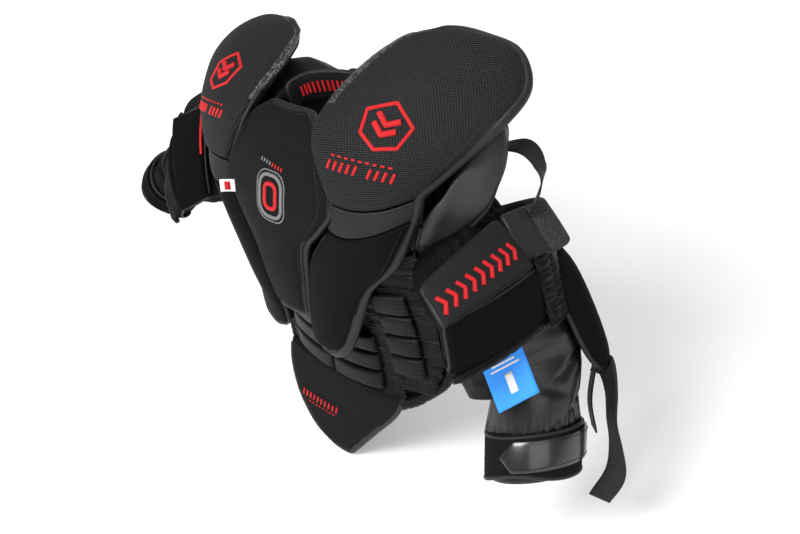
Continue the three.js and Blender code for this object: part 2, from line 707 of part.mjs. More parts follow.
const protector = new THREE.Group();
['left', 'right'].forEach((side) => {
  const half = new THREE.Group();
  half.scale.x = side === 'left' ? 1 : -1;
  half.add(...torsoPieces(side), armOf(side));
  protector.add(half);
});
protector.add(
  piece('chest_base', chestBase, finishes.nylon),
  piece('sternum_pad', sternumPad, finishes.mesh),
  piece('neck_collar', neckCollar, finishes.mesh),
  piece('back_panel', backPanel, finishes.nylon),
  piece('belly_flap', bellyFlap, finishes.mesh),
  piece('elbow_strap_left', elbowStrap, finishes.webbing),
  piece('keeper_strap_left', keeperStrap, finishes.webbing),
  piece('shoulder_loop_left', shoulderLoop, finishes.webbing),
  piece('size_label', sizeLabel, finishes.label),
  piece('side_tag', sideTag, finishes.tag),
);

export default protector;
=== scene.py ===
import math

import bpy
import numpy as np
from mathutils import Matrix, Vector, noise
from mathutils.bvhtree import BVHTree


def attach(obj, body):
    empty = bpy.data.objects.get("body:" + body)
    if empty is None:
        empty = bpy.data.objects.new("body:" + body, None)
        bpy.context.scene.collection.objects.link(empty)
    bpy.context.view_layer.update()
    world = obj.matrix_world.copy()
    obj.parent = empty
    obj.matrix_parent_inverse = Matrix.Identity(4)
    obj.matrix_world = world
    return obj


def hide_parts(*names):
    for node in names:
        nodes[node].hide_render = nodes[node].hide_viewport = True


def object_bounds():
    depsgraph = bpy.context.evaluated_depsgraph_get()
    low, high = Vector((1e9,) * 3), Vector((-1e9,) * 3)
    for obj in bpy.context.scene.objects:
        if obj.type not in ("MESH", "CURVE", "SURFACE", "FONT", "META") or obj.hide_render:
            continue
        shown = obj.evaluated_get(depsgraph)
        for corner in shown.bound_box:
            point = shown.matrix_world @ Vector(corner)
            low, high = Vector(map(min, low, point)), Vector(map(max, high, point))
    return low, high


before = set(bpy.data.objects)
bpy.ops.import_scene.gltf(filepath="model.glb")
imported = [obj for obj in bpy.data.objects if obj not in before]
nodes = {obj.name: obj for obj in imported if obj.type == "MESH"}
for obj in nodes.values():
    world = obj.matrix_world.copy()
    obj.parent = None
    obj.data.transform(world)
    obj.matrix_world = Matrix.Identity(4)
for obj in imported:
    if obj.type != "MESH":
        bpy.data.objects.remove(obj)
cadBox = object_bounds()
scene = bpy.context.scene
mm = 0.001
sideSigns = {"left": 1, "right": -1}
print("frame loaded:", len(nodes), "solids")


# Points, selection and modifiers

def spot(x, y, z):
    return Vector((x, y, z)) * mm


def pickOnly(obj):
    bpy.ops.object.select_all(action="DESELECT")
    obj.select_set(True)
    bpy.context.view_layer.objects.active = obj


def addObject(name, data):
    obj = bpy.data.objects.new(name, data)
    scene.collection.objects.link(obj)
    pickOnly(obj)
    return obj


def shaped(obj, kind, **values):
    pickOnly(obj)
    modifier = obj.modifiers.new(kind.title(), kind)
    for key, value in values.items():
        setattr(modifier, key, value)
    bpy.ops.object.modifier_apply(modifier=modifier.name)


def pointsOf(obj):
    flat = np.empty(len(obj.data.vertices) * 3, np.float32)
    obj.data.vertices.foreach_get("co", flat)
    return flat.reshape(-1, 3).astype(float)


def normalsOf(obj):
    flat = np.empty(len(obj.data.vertices) * 3, np.float32)
    obj.data.vertex_normals.foreach_get("vector", flat)
    return flat.reshape(-1, 3).astype(float)


def movePoints(obj, points):
    obj.data.vertices.foreach_set("co", points.astype(np.float32).ravel())
    obj.data.update()


def handOver(obj, slot, finish, replaced=(), fill=None):
    if obj.data.materials:
        obj.data.materials.clear()
    obj.data.materials.append(finishes[finish])
    pickOnly(obj)
    bpy.ops.object.shade_smooth()
    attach(obj, "root")
    if replaced:
        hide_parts(*replaced)
    return obj


# Rows of inner edge, middle and outer edge, as the pattern pieces were drawn (mm, the wearer's left side)

capRows = [
    [(93, -90, -73), (150, -82, -71), (187, -40, -60)],
    [(67, -77, -14), (150, -62, -27), (208, 0, -29)],
    [(66, -49, 18), (152, -27, 8), (231, 35, 3)],
    [(73, -11, 40), (162, 7, 38), (232, 75, 27)],
    [(88, 33, 63), (164, 43, 63), (212, 90, 54)],
    [(110, 55, 70), (148, 69, 74), (184, 89, 62)],
]
plateRows = [
    [(91, -93, -104), (140, -88, -104), (184, -41, -83)],
    [(55, -98, -156), (106, -93, -152), (152, -51, -148)],
    [(34, -95, -223), (79, -92, -211), (116, -65, -188)],
    [(26, -90, -271), (62, -88, -258), (97, -75, -234)],
    [(43, -87, -290), (62, -87, -289), (81, -83, -272)],
]
bandRows = [
    [(94, -87, -75), (150, -79, -73), (186, -38, -62)],
    [(96, -91, -92), (148, -84, -90), (185, -40, -72)],
    [(91, -93, -103), (140, -88, -103), (184, -41, -82)],
]
floaterRows = [
    [(174, -33, -98), (171, -35, -112), (163, -34, -136)],
    [(198, -17, -60), (196, -22, -90), (186, -16, -129)],
    [(204, 9, -34), (215, 2, -70), (212, -2, -108)],
    [(209, 33, -16), (225, 25, -51), (225, 19, -83)],
    [(209, 54, -7), (221, 49, -31), (222, 46, -50)],
    [(204, 68, -9), (210, 67, -21), (210, 66, -32)],
]
sternumLevels = [
    (5, 36, -55, -52), (-12, 63, -71, -65), (-45, 84, -90, -80), (-82, 99, -101, -92),
    (-112, 78, -105, -97), (-140, 53, -106, -101), (-190, 42, -104, -99), (-242, 31, -99, -96),
]
flapRows = [
    [(-116, -36, -362), (0, -46, -362), (114, -34, -362)],
    [(-106, -48, -395), (-2, -49, -395), (95, -39, -395)],
    [(-86, -56, -435), (-6, -52, -435), (60, -45, -435)],
    [(-56, -58, -472), (-10, -54, -472), (28, -50, -472)],
    [(-22, -55, -493), (-6, -54, -494), (9, -53, -493)],
]
baseLevels = [
    (-6, 96, -36, -28), (-45, 128, -62, -40), (-90, 150, -76, -42), (-140, 160, -80, -36),
    (-200, 165, -66, -20), (-250, 168, -48, -8), (-310, 164, -37, -4), (-346, 140, -36, -12),
    (-370, 108, -36, -22),
]
collarTable = [(-66, -8, 0), (-62, 20, 6), (-40, 46, 5), (0, 57, 3), (40, 46, 5), (62, 20, 6), (66, -8, 0)]
backLevels = [
    (-6, 58, 90, 88), (-60, 108, 98, 90), (-150, 134, 102, 84), (-260, 128, 100, 80), (-330, 104, 94, 80),
]
shoulderLift = {"left": 1.0, "right": 0.82}
rightCapPush = [(3, 2), (11, 6), (24, 8), (21, 6), (8, 0), (0, -4)]  # outwards and up, row by row
settleLevel = -72


def sideRows(table, side, lift=1.0):
    sign = sideSigns[side]
    return [[spot(sign * x, y, settleLevel + (z - settleLevel) * lift) for x, y, z in row] for row in table]


def capPattern(side):
    rows = sideRows(capRows, side, shoulderLift[side])
    if side == "right":
        for row, (out, up) in zip(rows, rightCapPush):
            row[1] += spot(-out, 0, up)
            row[2] += spot(-1.2 * out, 0, up)
    return rows


def evenRows(levels):
    return [
        [spot(-half, edge, z), spot(0, middle, z), spot(half, edge, z)] for z, half, middle, edge in levels
    ]


def acrossRow(row, t):
    inner, middle, outer = row
    bend = 2 * middle - 0.5 * (inner + outer)
    return inner * (1 - t) ** 2 + bend * (2 * t * (1 - t)) + outer * t ** 2


def through(points, share):
    place = min(max(share, 0.0), 1.0) * (len(points) - 1)
    i = min(int(place), len(points) - 2)
    f = place - i
    a, b = points[i], points[i + 1]
    before = points[i - 1] if i > 0 else 2 * a - b
    after = points[i + 2] if i + 2 < len(points) else 2 * b - a
    square, cube = f * f, f * f * f
    return 0.5 * (
        2 * a + (b - before) * f + (2 * before - 5 * a + 4 * b - after) * square
        + (3 * a - before - 3 * b + after) * cube
    )


def panelSpot(rows, s, t):
    return through([acrossRow(row, t) for row in rows], s)


def evenly(points, step):
    spans = [0.0]
    for a, b in zip(points, points[1:]):
        spans.append(spans[-1] + (b - a).length)
    count = max(2, round(spans[-1] / step))
    marks = np.linspace(0, spans[-1], count + 1)
    flat = np.array([tuple(p) for p in points])
    return [Vector(v) for v in np.stack([np.interp(marks, spans, flat[:, k]) for k in range(3)], 1)]


def eased(points, passes=4):
    line = [p.copy() for p in points]
    for _ in range(passes):
        line = [line[0], *[(a + 2 * b + c) / 4 for a, b, c in zip(line, line[1:], line[2:])], line[-1]]
    return line


# Skins: the finished surfaces that trim and stitching lie on

def skinOf(*objs):
    corners, faces = [], []
    for obj in objs:
        first = len(corners)
        corners.extend(v.co.copy() for v in obj.data.vertices)
        faces.extend([first + k for k in polygon.vertices] for polygon in obj.data.polygons)
    return BVHTree.FromPolygons(corners, faces)


def nearSkin(skin, point, rise=0.0):
    place, normal, _, _ = skin.find_nearest(point)
    return place + normal * rise


def droppedOn(skin, point, aim, rise=0.0, reach=0.05):
    place, _, _, _ = skin.ray_cast(point + aim * reach, -aim, 2 * reach)
    if place is None:
        return nearSkin(skin, point, rise)
    return place + aim * rise


def rolls(name, runs, radius, rounds=2, closed=False, taper=None):
    curve = bpy.data.curves.new(name, "CURVE")
    curve.dimensions = "3D"
    curve.bevel_depth = radius
    curve.bevel_resolution = rounds
    curve.use_fill_caps = True
    for run in runs:
        spline = curve.splines.new("POLY")
        spline.points.add(len(run) - 1)
        spline.use_cyclic_u = closed
        for k, (knot, place) in enumerate(zip(spline.points, run)):
            knot.co = (*place, 1)
            knot.radius = taper(k / (len(run) - 1)) if taper else 1
    obj = addObject(name, curve)
    bpy.ops.object.convert(target="MESH")
    return obj


stitchStep = 0.0005


def stitchRuns(points, dash, gap):
    fine = evenly(points, stitchStep)
    size, skip = round(dash / stitchStep), round(gap / stitchStep)
    return [[fine[k], fine[k + size // 2], fine[k + size]] for k in range(0, len(fine) - size, size + skip)]


def sewnThread(name, runs, radius, slot):
    return handOver(rolls(name, runs, radius * mm, 0), slot, "darkThread")


def gridPiece(name, rows, thick=0.0, around=False, flip=False, rim=0.0):
    count = len(rows[0])
    mesh = bpy.data.meshes.new(name)
    faces = []
    uvs = []
    lengths = [0.0]
    for upper, lower in zip(rows, rows[1:]):
        lengths.append(lengths[-1] + (lower[count // 2] - upper[count // 2]).length)
    widths = [0.0]
    middle = rows[len(rows) // 2]
    loop = [*middle, middle[0]] if around else middle
    for a, b in zip(loop, loop[1:]):
        widths.append(widths[-1] + (b - a).length)
    for i in range(len(rows) - 1):
        for j in range(count if around else count - 1):
            k = (j + 1) % count
            corner = [(i, j, j), (i, k, j + 1), (i + 1, k, j + 1), (i + 1, j, j)]
            if flip:
                corner.reverse()
            faces.append([r * count + c for r, c, _ in corner])
            uvs.extend((widths[w], lengths[r]) for r, _, w in corner)
    mesh.from_pydata([tuple(p) for row in rows for p in row], [], faces)
    layer = mesh.uv_layers.new(name="weave")
    layer.uv.foreach_set("vector", np.array(uvs, np.float32).ravel())
    mesh.update()
    obj = addObject(name, mesh)
    if thick:
        shaped(obj, "SOLIDIFY", thickness=thick, offset=-1.0)
    if rim:
        shaped(obj, "BEVEL", width=rim, segments=2, limit_method="ANGLE", angle_limit=math.radians(50))
    return obj


# Padded pieces: a copy of the solid, remeshed, softened, blown up a little as cloth and subdivided

puff = {
    "pressure": 4.0, "frames": 20, "quality": 4, "mass": 0.25, "tension": 10.0, "bending": 0.3,
    "weld": 0.00005, "soften": 0.5, "softenings": 5,
}


def blowUp(pad, limit):
    before = pointsOf(pad)
    pickOnly(pad)
    cloth = pad.modifiers.new("Puff", "CLOTH")
    cloth.settings.quality = puff["quality"]
    cloth.settings.mass = puff["mass"]
    cloth.settings.tension_stiffness = puff["tension"]
    cloth.settings.compression_stiffness = puff["tension"]
    cloth.settings.bending_stiffness = puff["bending"]
    cloth.settings.use_pressure = True
    cloth.settings.uniform_pressure_force = puff["pressure"]
    cloth.settings.effector_weights.gravity = 0
    cloth.collision_settings.use_collision = False
    cloth.point_cache.frame_start = 1
    cloth.point_cache.frame_end = puff["frames"]
    for number in range(1, puff["frames"] + 1):
        scene.frame_set(number)
    bpy.ops.object.modifier_apply(modifier=cloth.name)
    moved = pointsOf(pad) - before
    furthest = np.linalg.norm(moved, axis=1).max()
    movePoints(pad, before + moved * min(1.0, limit / max(furthest, 1e-9)))
    scene.frame_set(1)


def filled(pad, limit, levels=1):
    blowUp(pad, limit * mm)
    if levels:
        shaped(pad, "SUBSURF", levels=levels, render_levels=levels)


def onWholeMesh(operator, **values):
    bpy.ops.object.mode_set(mode="EDIT")
    bpy.ops.mesh.select_all(action="SELECT")
    operator(**values)
    bpy.ops.object.mode_set(mode="OBJECT")


def softPad(node, look):
    pad = addObject(f"{node}_pad", nodes[node].data.copy())
    onWholeMesh(bpy.ops.mesh.remove_doubles, threshold=puff["weld"])
    shaped(pad, "REMESH", mode="VOXEL", voxel_size=look["voxel"] * mm)
    shaped(pad, "SMOOTH", factor=puff["soften"], iterations=puff["softenings"])
    filled(pad, look["limit"], look["levels"])
    return pad


# Sewn pads: a panel's rows become a front and a back face with rolled edges, joined at the rim

usualCell = 3.0  # mesh size of a pad, in mm, unless its dictionary says otherwise
seamGroove = {"deep": 1.5, "wide": 2.6}
rimDepth = 0.2  # where the binding sits between the front and the back face


def runLength(grid, axis):
    steps = np.linalg.norm(np.diff(grid, axis=axis), axis=2)
    start = np.zeros_like(np.take(steps, [0], axis))
    return np.concatenate([start, np.cumsum(steps, axis=axis)], axis=axis)


def rowShare(s, t, look):
    a, b = 2 * s - 1, 2 * t - 1
    bend = look.get("roundLast", 0.0) if a > 0 else 0.0
    return (a * math.sqrt(1 - bend * b * b / 2) + 1) / 2, (b * math.sqrt(1 - bend * a * a / 2) + 1) / 2


def panelGrid(rows, look):
    cell = look.get("cell", usualCell) * mm
    sample = np.array([[panelSpot(rows, i / 12, j / 12) for j in range(13)] for i in range(13)])
    down = max(6, round(runLength(sample, 0)[-1].max() / cell))
    over = max(6, round(runLength(sample, 1)[:, -1].max() / cell))
    return np.array([
        [panelSpot(rows, *rowShare(i / down, j / over, look)) for j in range(over + 1)]
        for i in range(down + 1)
    ])


def facing(grid, heart):
    out = np.cross(np.gradient(grid, axis=0), np.gradient(grid, axis=1))
    out /= np.linalg.norm(out, axis=2, keepdims=True)
    middle = (grid.shape[0] // 2, grid.shape[1] // 2)
    return out if np.dot(out[middle], grid[middle] - np.array(spot(*heart))) > 0 else -out


def padFaces(grid, out, look):
    along, across = runLength(grid, 0), runLength(grid, 1)
    toEdge = {"first": along, "last": along[-1:] - along, "inner": across, "outer": across[:, -1:] - across}
    fall = np.zeros(along.shape)
    for edge, radius in look["edges"].items():
        near = np.clip(1 - toEdge[edge] / (radius * mm), 0, 1)
        fall = np.maximum(fall, radius * (1 - np.sqrt(1 - near ** 2)))
    s = np.linspace(-1, 1, grid.shape[0])[:, None]
    t = np.linspace(-1, 1, grid.shape[1])[None, :]
    lift = look.get("lift", 0)
    rise = look.get("crown", 0) * (1 - s ** 4) * (1 - t ** 4)
    rise = rise + lift * np.clip((s + 1) / look.get("ramp", 0.01), 0, 1)
    for share, way in look.get("channels", ()):
        place = along - share * along[-1:] if way == "along" else across - share * across[:, -1:]
        rise = rise - look["channelDeep"] * np.exp(-((place / (look["channelWide"] * mm)) ** 2))
    border = np.zeros(along.shape, np.int32)
    for number, (width, edges, _, start) in enumerate(look.get("borders", ())):
        near = np.min([toEdge[edge] for edge in edges], axis=0) / mm
        sewn = along >= start * along[-1:]
        border[(near < width) & sewn] = number + 1
        rise = rise - seamGroove["deep"] * np.exp(-(((near - width) / seamGroove["wide"]) ** 2)) * sewn
    if "crumple" in look:
        deep, wide = look["crumple"]
        creases = [[noise.noise(Vector(p) / (wide * mm)) for p in line] for line in grid]
        rise = rise + deep * np.array(creases)
    front = grid + out * ((rise - fall) * mm)[..., None]
    back = grid - out * ((look["thick"] - lift - 0.5 * fall) * mm)[..., None]
    weave = np.stack([across - across[:, -1:] / 2, along], -1)
    return front, back, weave, border


def sewnPad(name, rows, heart, look):
    grid = panelGrid(rows, look)
    front, back, weave, border = padFaces(grid, facing(grid, heart), look)
    size = front.shape[0] * front.shape[1]
    index = np.arange(size).reshape(front.shape[:2])
    quads = np.stack([index[:-1, :-1], index[:-1, 1:], index[1:, 1:], index[1:, :-1]], -1).reshape(-1, 4)
    ring = np.concatenate([index[0, :-1], index[:-1, -1], index[-1, :0:-1], index[:0:-1, 0]])
    after = np.roll(ring, -1)
    walls = np.stack([after, ring, ring + size, after + size], -1)
    faces = np.concatenate([quads, quads[:, ::-1] + size, walls])
    mesh = bpy.data.meshes.new(name)
    corners = np.concatenate([front.reshape(-1, 3), back.reshape(-1, 3)])
    mesh.from_pydata(corners.tolist(), [], faces.tolist())
    layer = mesh.uv_layers.new(name="weave")
    flat = np.concatenate([weave.reshape(-1, 2)] * 2)
    layer.uv.foreach_set("vector", flat[faces.ravel()].astype(np.float32).ravel())
    edging = np.zeros(len(faces), np.int32)
    edging[:len(quads)] = np.minimum(border[:-1, :-1], border[1:, 1:]).ravel()
    mesh.polygons.foreach_set("material_index", edging)
    mesh.update()
    pad = addObject(name, mesh)
    onWholeMesh(bpy.ops.mesh.normals_make_consistent, inside=False)
    filled(pad, look["limit"])
    return pad, front + (back - front) * rimDepth


def rimLine(middle, edge, inset, start=0.0, end=1.0, count=60):
    rims = {
        "first": (middle[0], middle[1]), "last": (middle[-1], middle[-2]),
        "inner": (middle[:, 0], middle[:, 1]), "outer": (middle[:, -1], middle[:, -2]),
    }
    rim, beside = rims[edge]
    inward = beside - rim
    line = rim + inward / np.linalg.norm(inward, axis=1)[:, None] * (inset * mm)
    marks = np.linspace(start, end, count + 1) * (len(line) - 1)
    spots = np.stack([np.interp(marks, np.arange(len(line)), line[:, k]) for k in range(3)], 1)
    return [Vector(p) for p in spots]


# Finishes

def addNode(tree, kind, settings=None, **inputs):
    node = tree.nodes.new(kind)
    for key, value in (settings or {}).items():
        setattr(node, key, value)
    for key, value in inputs.items():
        socket = node.inputs[key.replace("_", " ")]
        if isinstance(value, bpy.types.NodeSocket):
            tree.links.new(value, socket)
        else:
            socket.default_value = value
    return node


def mixColours(tree, share, first, second):
    node = addNode(tree, "ShaderNodeMix", {"data_type": "RGBA"})
    for socket, value in ((node.inputs[0], share), (node.inputs[6], first), (node.inputs[7], second)):
        if isinstance(value, bpy.types.NodeSocket):
            tree.links.new(value, socket)
        else:
            socket.default_value = value
    return node.outputs[2]


def grey(value, tint=(1, 1, 1)):
    return (value * tint[0], value * tint[1], value * tint[2], 1)


waveTurns = 0.314  # a wave texture at this scale repeats once in a unit


def clothFinish(name, look):
    material = bpy.data.materials.new(name)
    material.use_nodes = True
    tree = material.node_tree
    shader = tree.nodes["Principled BSDF"]
    coords = addNode(tree, "ShaderNodeTexCoord")
    place = coords.outputs["UV" if look["weave"] in ("knit", "rib", "web") else "Object"]
    body = coords.outputs["Object"]
    cloud = addNode(tree, "ShaderNodeTexNoise", Vector=body, Scale=16.0, Detail=5.0)
    fine = addNode(tree, "ShaderNodeTexNoise", Vector=body, Scale=look.get("fineScale", 420.0), Detail=3.0)
    cell = look["cell"] * mm
    if look["weave"] == "knit":
        brick = addNode(
            tree, "ShaderNodeTexBrick", {"offset": 0.5}, Vector=place, Scale=1.0,
            Mortar_Size=0.2 * cell, Mortar_Smooth=0.7, Brick_Width=1.15 * cell, Row_Height=0.85 * cell,
        )
        pattern = brick.outputs["Fac"]
    elif look["weave"] in ("rib", "web"):
        wave = addNode(
            tree, "ShaderNodeTexWave", {"bands_direction": "Y"}, Vector=place,
            Scale=waveTurns / cell, Distortion=1.2, Detail=2.0, Detail_Scale=3.0,
        )
        pattern = wave.outputs["Fac"]
    elif look["weave"] == "twill":
        wave = addNode(
            tree, "ShaderNodeTexWave", {"bands_direction": "DIAGONAL"}, Vector=place,
            Scale=waveTurns / cell, Distortion=0.6, Detail=1.0,
        )
        pattern = wave.outputs["Fac"]
    elif look["weave"] == "grain":
        cells = addNode(
            tree, "ShaderNodeTexVoronoi", {"feature": "DISTANCE_TO_EDGE"}, Vector=place, Scale=1 / cell,
        )
        spread = addNode(tree, "ShaderNodeMapRange", Value=cells.outputs["Distance"], From_Max=0.25)
        pattern = spread.outputs[0]
    else:
        tufts = addNode(tree, "ShaderNodeTexVoronoi", Vector=place, Scale=1 / cell)
        pattern = tufts.outputs["Distance"]
    wornBy = addNode(tree, "ShaderNodeMapRange", Value=cloud.outputs["Fac"], From_Min=0.35, From_Max=0.72)
    cloth = mixColours(tree, wornBy.outputs[0], look["base"], look["worn"])
    shared = addNode(tree, "ShaderNodeMath", {"operation": "MULTIPLY"})
    tree.links.new(pattern, shared.inputs[0])
    shared.inputs[1].default_value = look.get("contrast", 0.5)
    colour = mixColours(tree, shared.outputs[0], cloth, look["thread"])
    tree.links.new(colour, shader.inputs["Base Color"])
    low, high = look["roughness"]
    gloss = addNode(tree, "ShaderNodeMapRange", Value=cloud.outputs["Fac"], To_Min=low, To_Max=high)
    tree.links.new(gloss.outputs[0], shader.inputs["Roughness"])
    shader.inputs["Sheen Weight"].default_value = look.get("sheen", 0.0)
    shader.inputs["Sheen Roughness"].default_value = 0.4
    shader.inputs["Specular IOR Level"].default_value = look.get("specular", 0.4)
    shader.inputs["Coat Weight"].default_value = look.get("coat", 0.0)
    bumpFine = addNode(
        tree, "ShaderNodeBump", Height=fine.outputs["Fac"], Strength=look.get("fuzz", 0.15),
        Distance=0.6 * mm,
    )
    bump = addNode(
        tree, "ShaderNodeBump", Height=pattern, Strength=look.get("bump", 0.4),
        Distance=look.get("deep", 0.6) * mm, Normal=bumpFine.outputs[0],
    )
    tree.links.new(bump.outputs[0], shader.inputs["Normal"])
    return material


finishTable = {
    "meshKnit": {
        "weave": "knit", "cell": 2.6, "base": grey(0.001), "worn": grey(0.002),
        "thread": grey(0.04, (0.96, 1, 1.04)), "contrast": 0.95, "roughness": (0.55, 0.7),
        "specular": 0.1, "bump": 0.9, "deep": 1.1,
    },
    "fineMesh": {
        "weave": "knit", "cell": 3.0, "base": grey(0.0015), "worn": grey(0.0025),
        "thread": grey(0.014, (0.92, 1, 1.03)), "contrast": 0.9, "roughness": (0.6, 0.75),
        "specular": 0.08, "bump": 0.8, "deep": 0.8,
    },
    "panelKnit": {
        "weave": "knit", "cell": 1.8, "base": grey(0.007), "worn": grey(0.009), "thread": grey(0.022),
        "contrast": 0.7, "roughness": (0.65, 0.8), "specular": 0.12, "bump": 0.4, "deep": 0.5,
    },
    "silverMesh": {
        "weave": "pile", "cell": 2.3, "base": grey(0.3), "worn": grey(0.07), "thread": grey(0.004),
        "contrast": 1.9, "roughness": (0.3, 0.5), "specular": 0.6, "bump": 0.9, "deep": 0.8,
    },
    "slateCloth": {
        "weave": "twill", "cell": 1.0, "base": grey(0.012, (0.88, 1, 1.1)),
        "worn": grey(0.016, (0.88, 1, 1.1)),
        "thread": grey(0.02), "contrast": 0.3, "roughness": (0.5, 0.62), "specular": 0.14, "bump": 0.15,
    },
    "plateCloth": {
        "weave": "twill", "cell": 1.1, "base": grey(0.0018), "worn": grey(0.0026), "thread": grey(0.004),
        "contrast": 0.4, "roughness": (0.6, 0.75), "specular": 0.07, "bump": 0.15,
    },
    "nylon": {
        "weave": "twill", "cell": 1.3, "base": grey(0.002), "worn": grey(0.0035), "thread": grey(0.006),
        "contrast": 0.4, "roughness": (0.34, 0.48), "specular": 0.13, "bump": 0.25,
        "fineScale": 110, "fuzz": 0.4,
    },
    "satinNylon": {
        "weave": "twill", "cell": 1.3, "base": grey(0.01), "worn": grey(0.015), "thread": grey(0.022),
        "contrast": 0.4, "roughness": (0.4, 0.52), "specular": 0.4, "bump": 0.25, "fineScale": 90,
        "fuzz": 0.45,
    },
    "ribNylon": {
        "weave": "rib", "cell": 2.2, "base": grey(0.003), "worn": grey(0.005), "thread": grey(0.009),
        "contrast": 0.3, "roughness": (0.26, 0.38), "specular": 0.42, "bump": 0.18, "deep": 0.3,
        "fineScale": 70, "fuzz": 0.3,
    },
    "binding": {
        "weave": "twill", "cell": 1.4, "base": grey(0.007), "worn": grey(0.01), "thread": grey(0.015),
        "contrast": 0.5, "roughness": (0.38, 0.5), "specular": 0.28, "bump": 0.35,
    },
    "suede": {
        "weave": "pile", "cell": 1.0, "base": grey(0.002), "worn": grey(0.003), "thread": grey(0.004),
        "contrast": 0.5, "roughness": (0.85, 0.95), "sheen": 0.02, "specular": 0.06, "bump": 0.3,
        "deep": 0.3,
    },
    "loopPile": {
        "weave": "pile", "cell": 2.2, "base": grey(0.008), "worn": grey(0.012), "thread": grey(0.05),
        "contrast": 1.0, "roughness": (0.85, 0.95), "sheen": 0.05, "specular": 0.1, "bump": 0.9,
        "deep": 0.9,
        "fuzz": 0.5,
    },
    "cuffPile": {
        "weave": "pile", "cell": 1.8, "base": grey(0.002), "worn": grey(0.003), "thread": grey(0.014),
        "contrast": 0.8, "roughness": (0.85, 0.95), "sheen": 0.01, "specular": 0.08, "bump": 0.9,
        "deep": 0.9,
        "fuzz": 0.5,
    },
    "leather": {
        "weave": "grain", "cell": 1.7, "base": grey(0.006), "worn": grey(0.01), "thread": grey(0.014),
        "contrast": 0.4, "roughness": (0.2, 0.32), "specular": 0.55, "coat": 0.3, "bump": 0.12, "deep": 0.3,
    },
    "webbing": {
        "weave": "web", "cell": 1.8, "base": grey(0.006), "worn": grey(0.009), "thread": grey(0.018),
        "contrast": 0.7, "roughness": (0.55, 0.7), "specular": 0.2, "bump": 0.6, "deep": 0.6,
    },
    "redThread": {
        "weave": "twill", "cell": 0.9, "base": (0.5, 0.01, 0.014, 1), "worn": (0.4, 0.008, 0.011, 1),
        "thread": (0.62, 0.022, 0.024, 1), "contrast": 0.6, "roughness": (0.4, 0.55), "specular": 0.2,
        "bump": 0.5,
    },
    "greyThread": {
        "weave": "twill", "cell": 0.9, "base": grey(0.14), "worn": grey(0.1), "thread": grey(0.26),
        "contrast": 0.6, "roughness": (0.4, 0.55), "specular": 0.25, "bump": 0.5,
    },
    "darkThread": {
        "weave": "twill", "cell": 0.8, "base": grey(0.012), "worn": grey(0.016), "thread": grey(0.026),
        "contrast": 0.5, "roughness": (0.4, 0.55), "specular": 0.25, "bump": 0.3,
    },
    "blueCloth": {
        "weave": "twill", "cell": 0.7, "base": (0.036, 0.28, 0.94, 1), "worn": (0.04, 0.3, 0.96, 1),
        "thread": (0.05, 0.34, 0.98, 1), "contrast": 0.4, "roughness": (0.45, 0.55), "specular": 0.25,
        "bump": 0.15,
    },
    "whiteCloth": {
        "weave": "twill", "cell": 0.7, "base": grey(0.78), "worn": grey(0.72), "thread": grey(0.84),
        "contrast": 0.4, "roughness": (0.5, 0.6), "specular": 0.25, "bump": 0.15,
    },
}
finishes = {name: clothFinish(name, look) for name, look in finishTable.items()}
print("finishes:", len(finishes))


# Chest, shoulders and neck: the padded pieces

collarRows = [
    [spot(x, y, top), spot(0.96 * x, 0.96 * y, top - 18), spot(0.95 * x, 0.95 * y, top - 36)]
    for x, y, top in collarTable
]
neckTrim = {  # radius and inset of the roll, width of the strip beside it and where both start up the edge
    "left": (4.4, 5.5, 17, 0.45), "right": (3.6, 2.0, 6, 0.38),
}
chestHeart = (0, 60, -150)
sewnPads = {  # a border is its width in mm, its edges, its finish and where it starts up the edge
    "sternum_pad": {
        "slot": "mesh_knit", "finish": "fineMesh", "fill": 0.7, "limit": 2.5,
        "rows": evenRows(sternumLevels),
        "thick": 20, "crown": 4, "cell": 4.6, "edges": {"first": 7, "last": 5, "inner": 8, "outer": 8},
        "borders": [(6, ("first", "last", "inner", "outer"), "binding", 0)],
    },
    "belly_flap": {
        "slot": "mesh_knit", "finish": "fineMesh", "fill": 0.5, "limit": 1.5,
        "rows": sideRows(flapRows, "left"),
        "thick": 11, "crown": 2, "cell": 4.6, "edges": {"first": 2, "last": 4, "inner": 5, "outer": 5},
        "borders": [(6, ("last", "inner", "outer"), "binding", 0)],
    },
    "back_panel": {
        "slot": "nylon", "finish": "nylon", "fill": 0.5, "limit": 2, "rows": evenRows(backLevels),
        "heart": (0, 40, -150), "thick": 16, "crown": 3, "cell": 6, "channelDeep": 2.6, "channelWide": 3.4,
        "edges": {"first": 6, "last": 6, "inner": 6, "outer": 6},
        "channels": [(0.3, "along"), (0.55, "along"), (0.8, "along")],
    },
    "neck_collar": {
        "slot": "mesh_knit", "finish": "fineMesh", "fill": 0.6, "limit": 1.5, "rows": collarRows,
        "heart": (0, 120, -15), "thick": 13, "crown": 2,
        "edges": {"first": 4, "last": 4, "inner": 5, "outer": 4},
    },
}
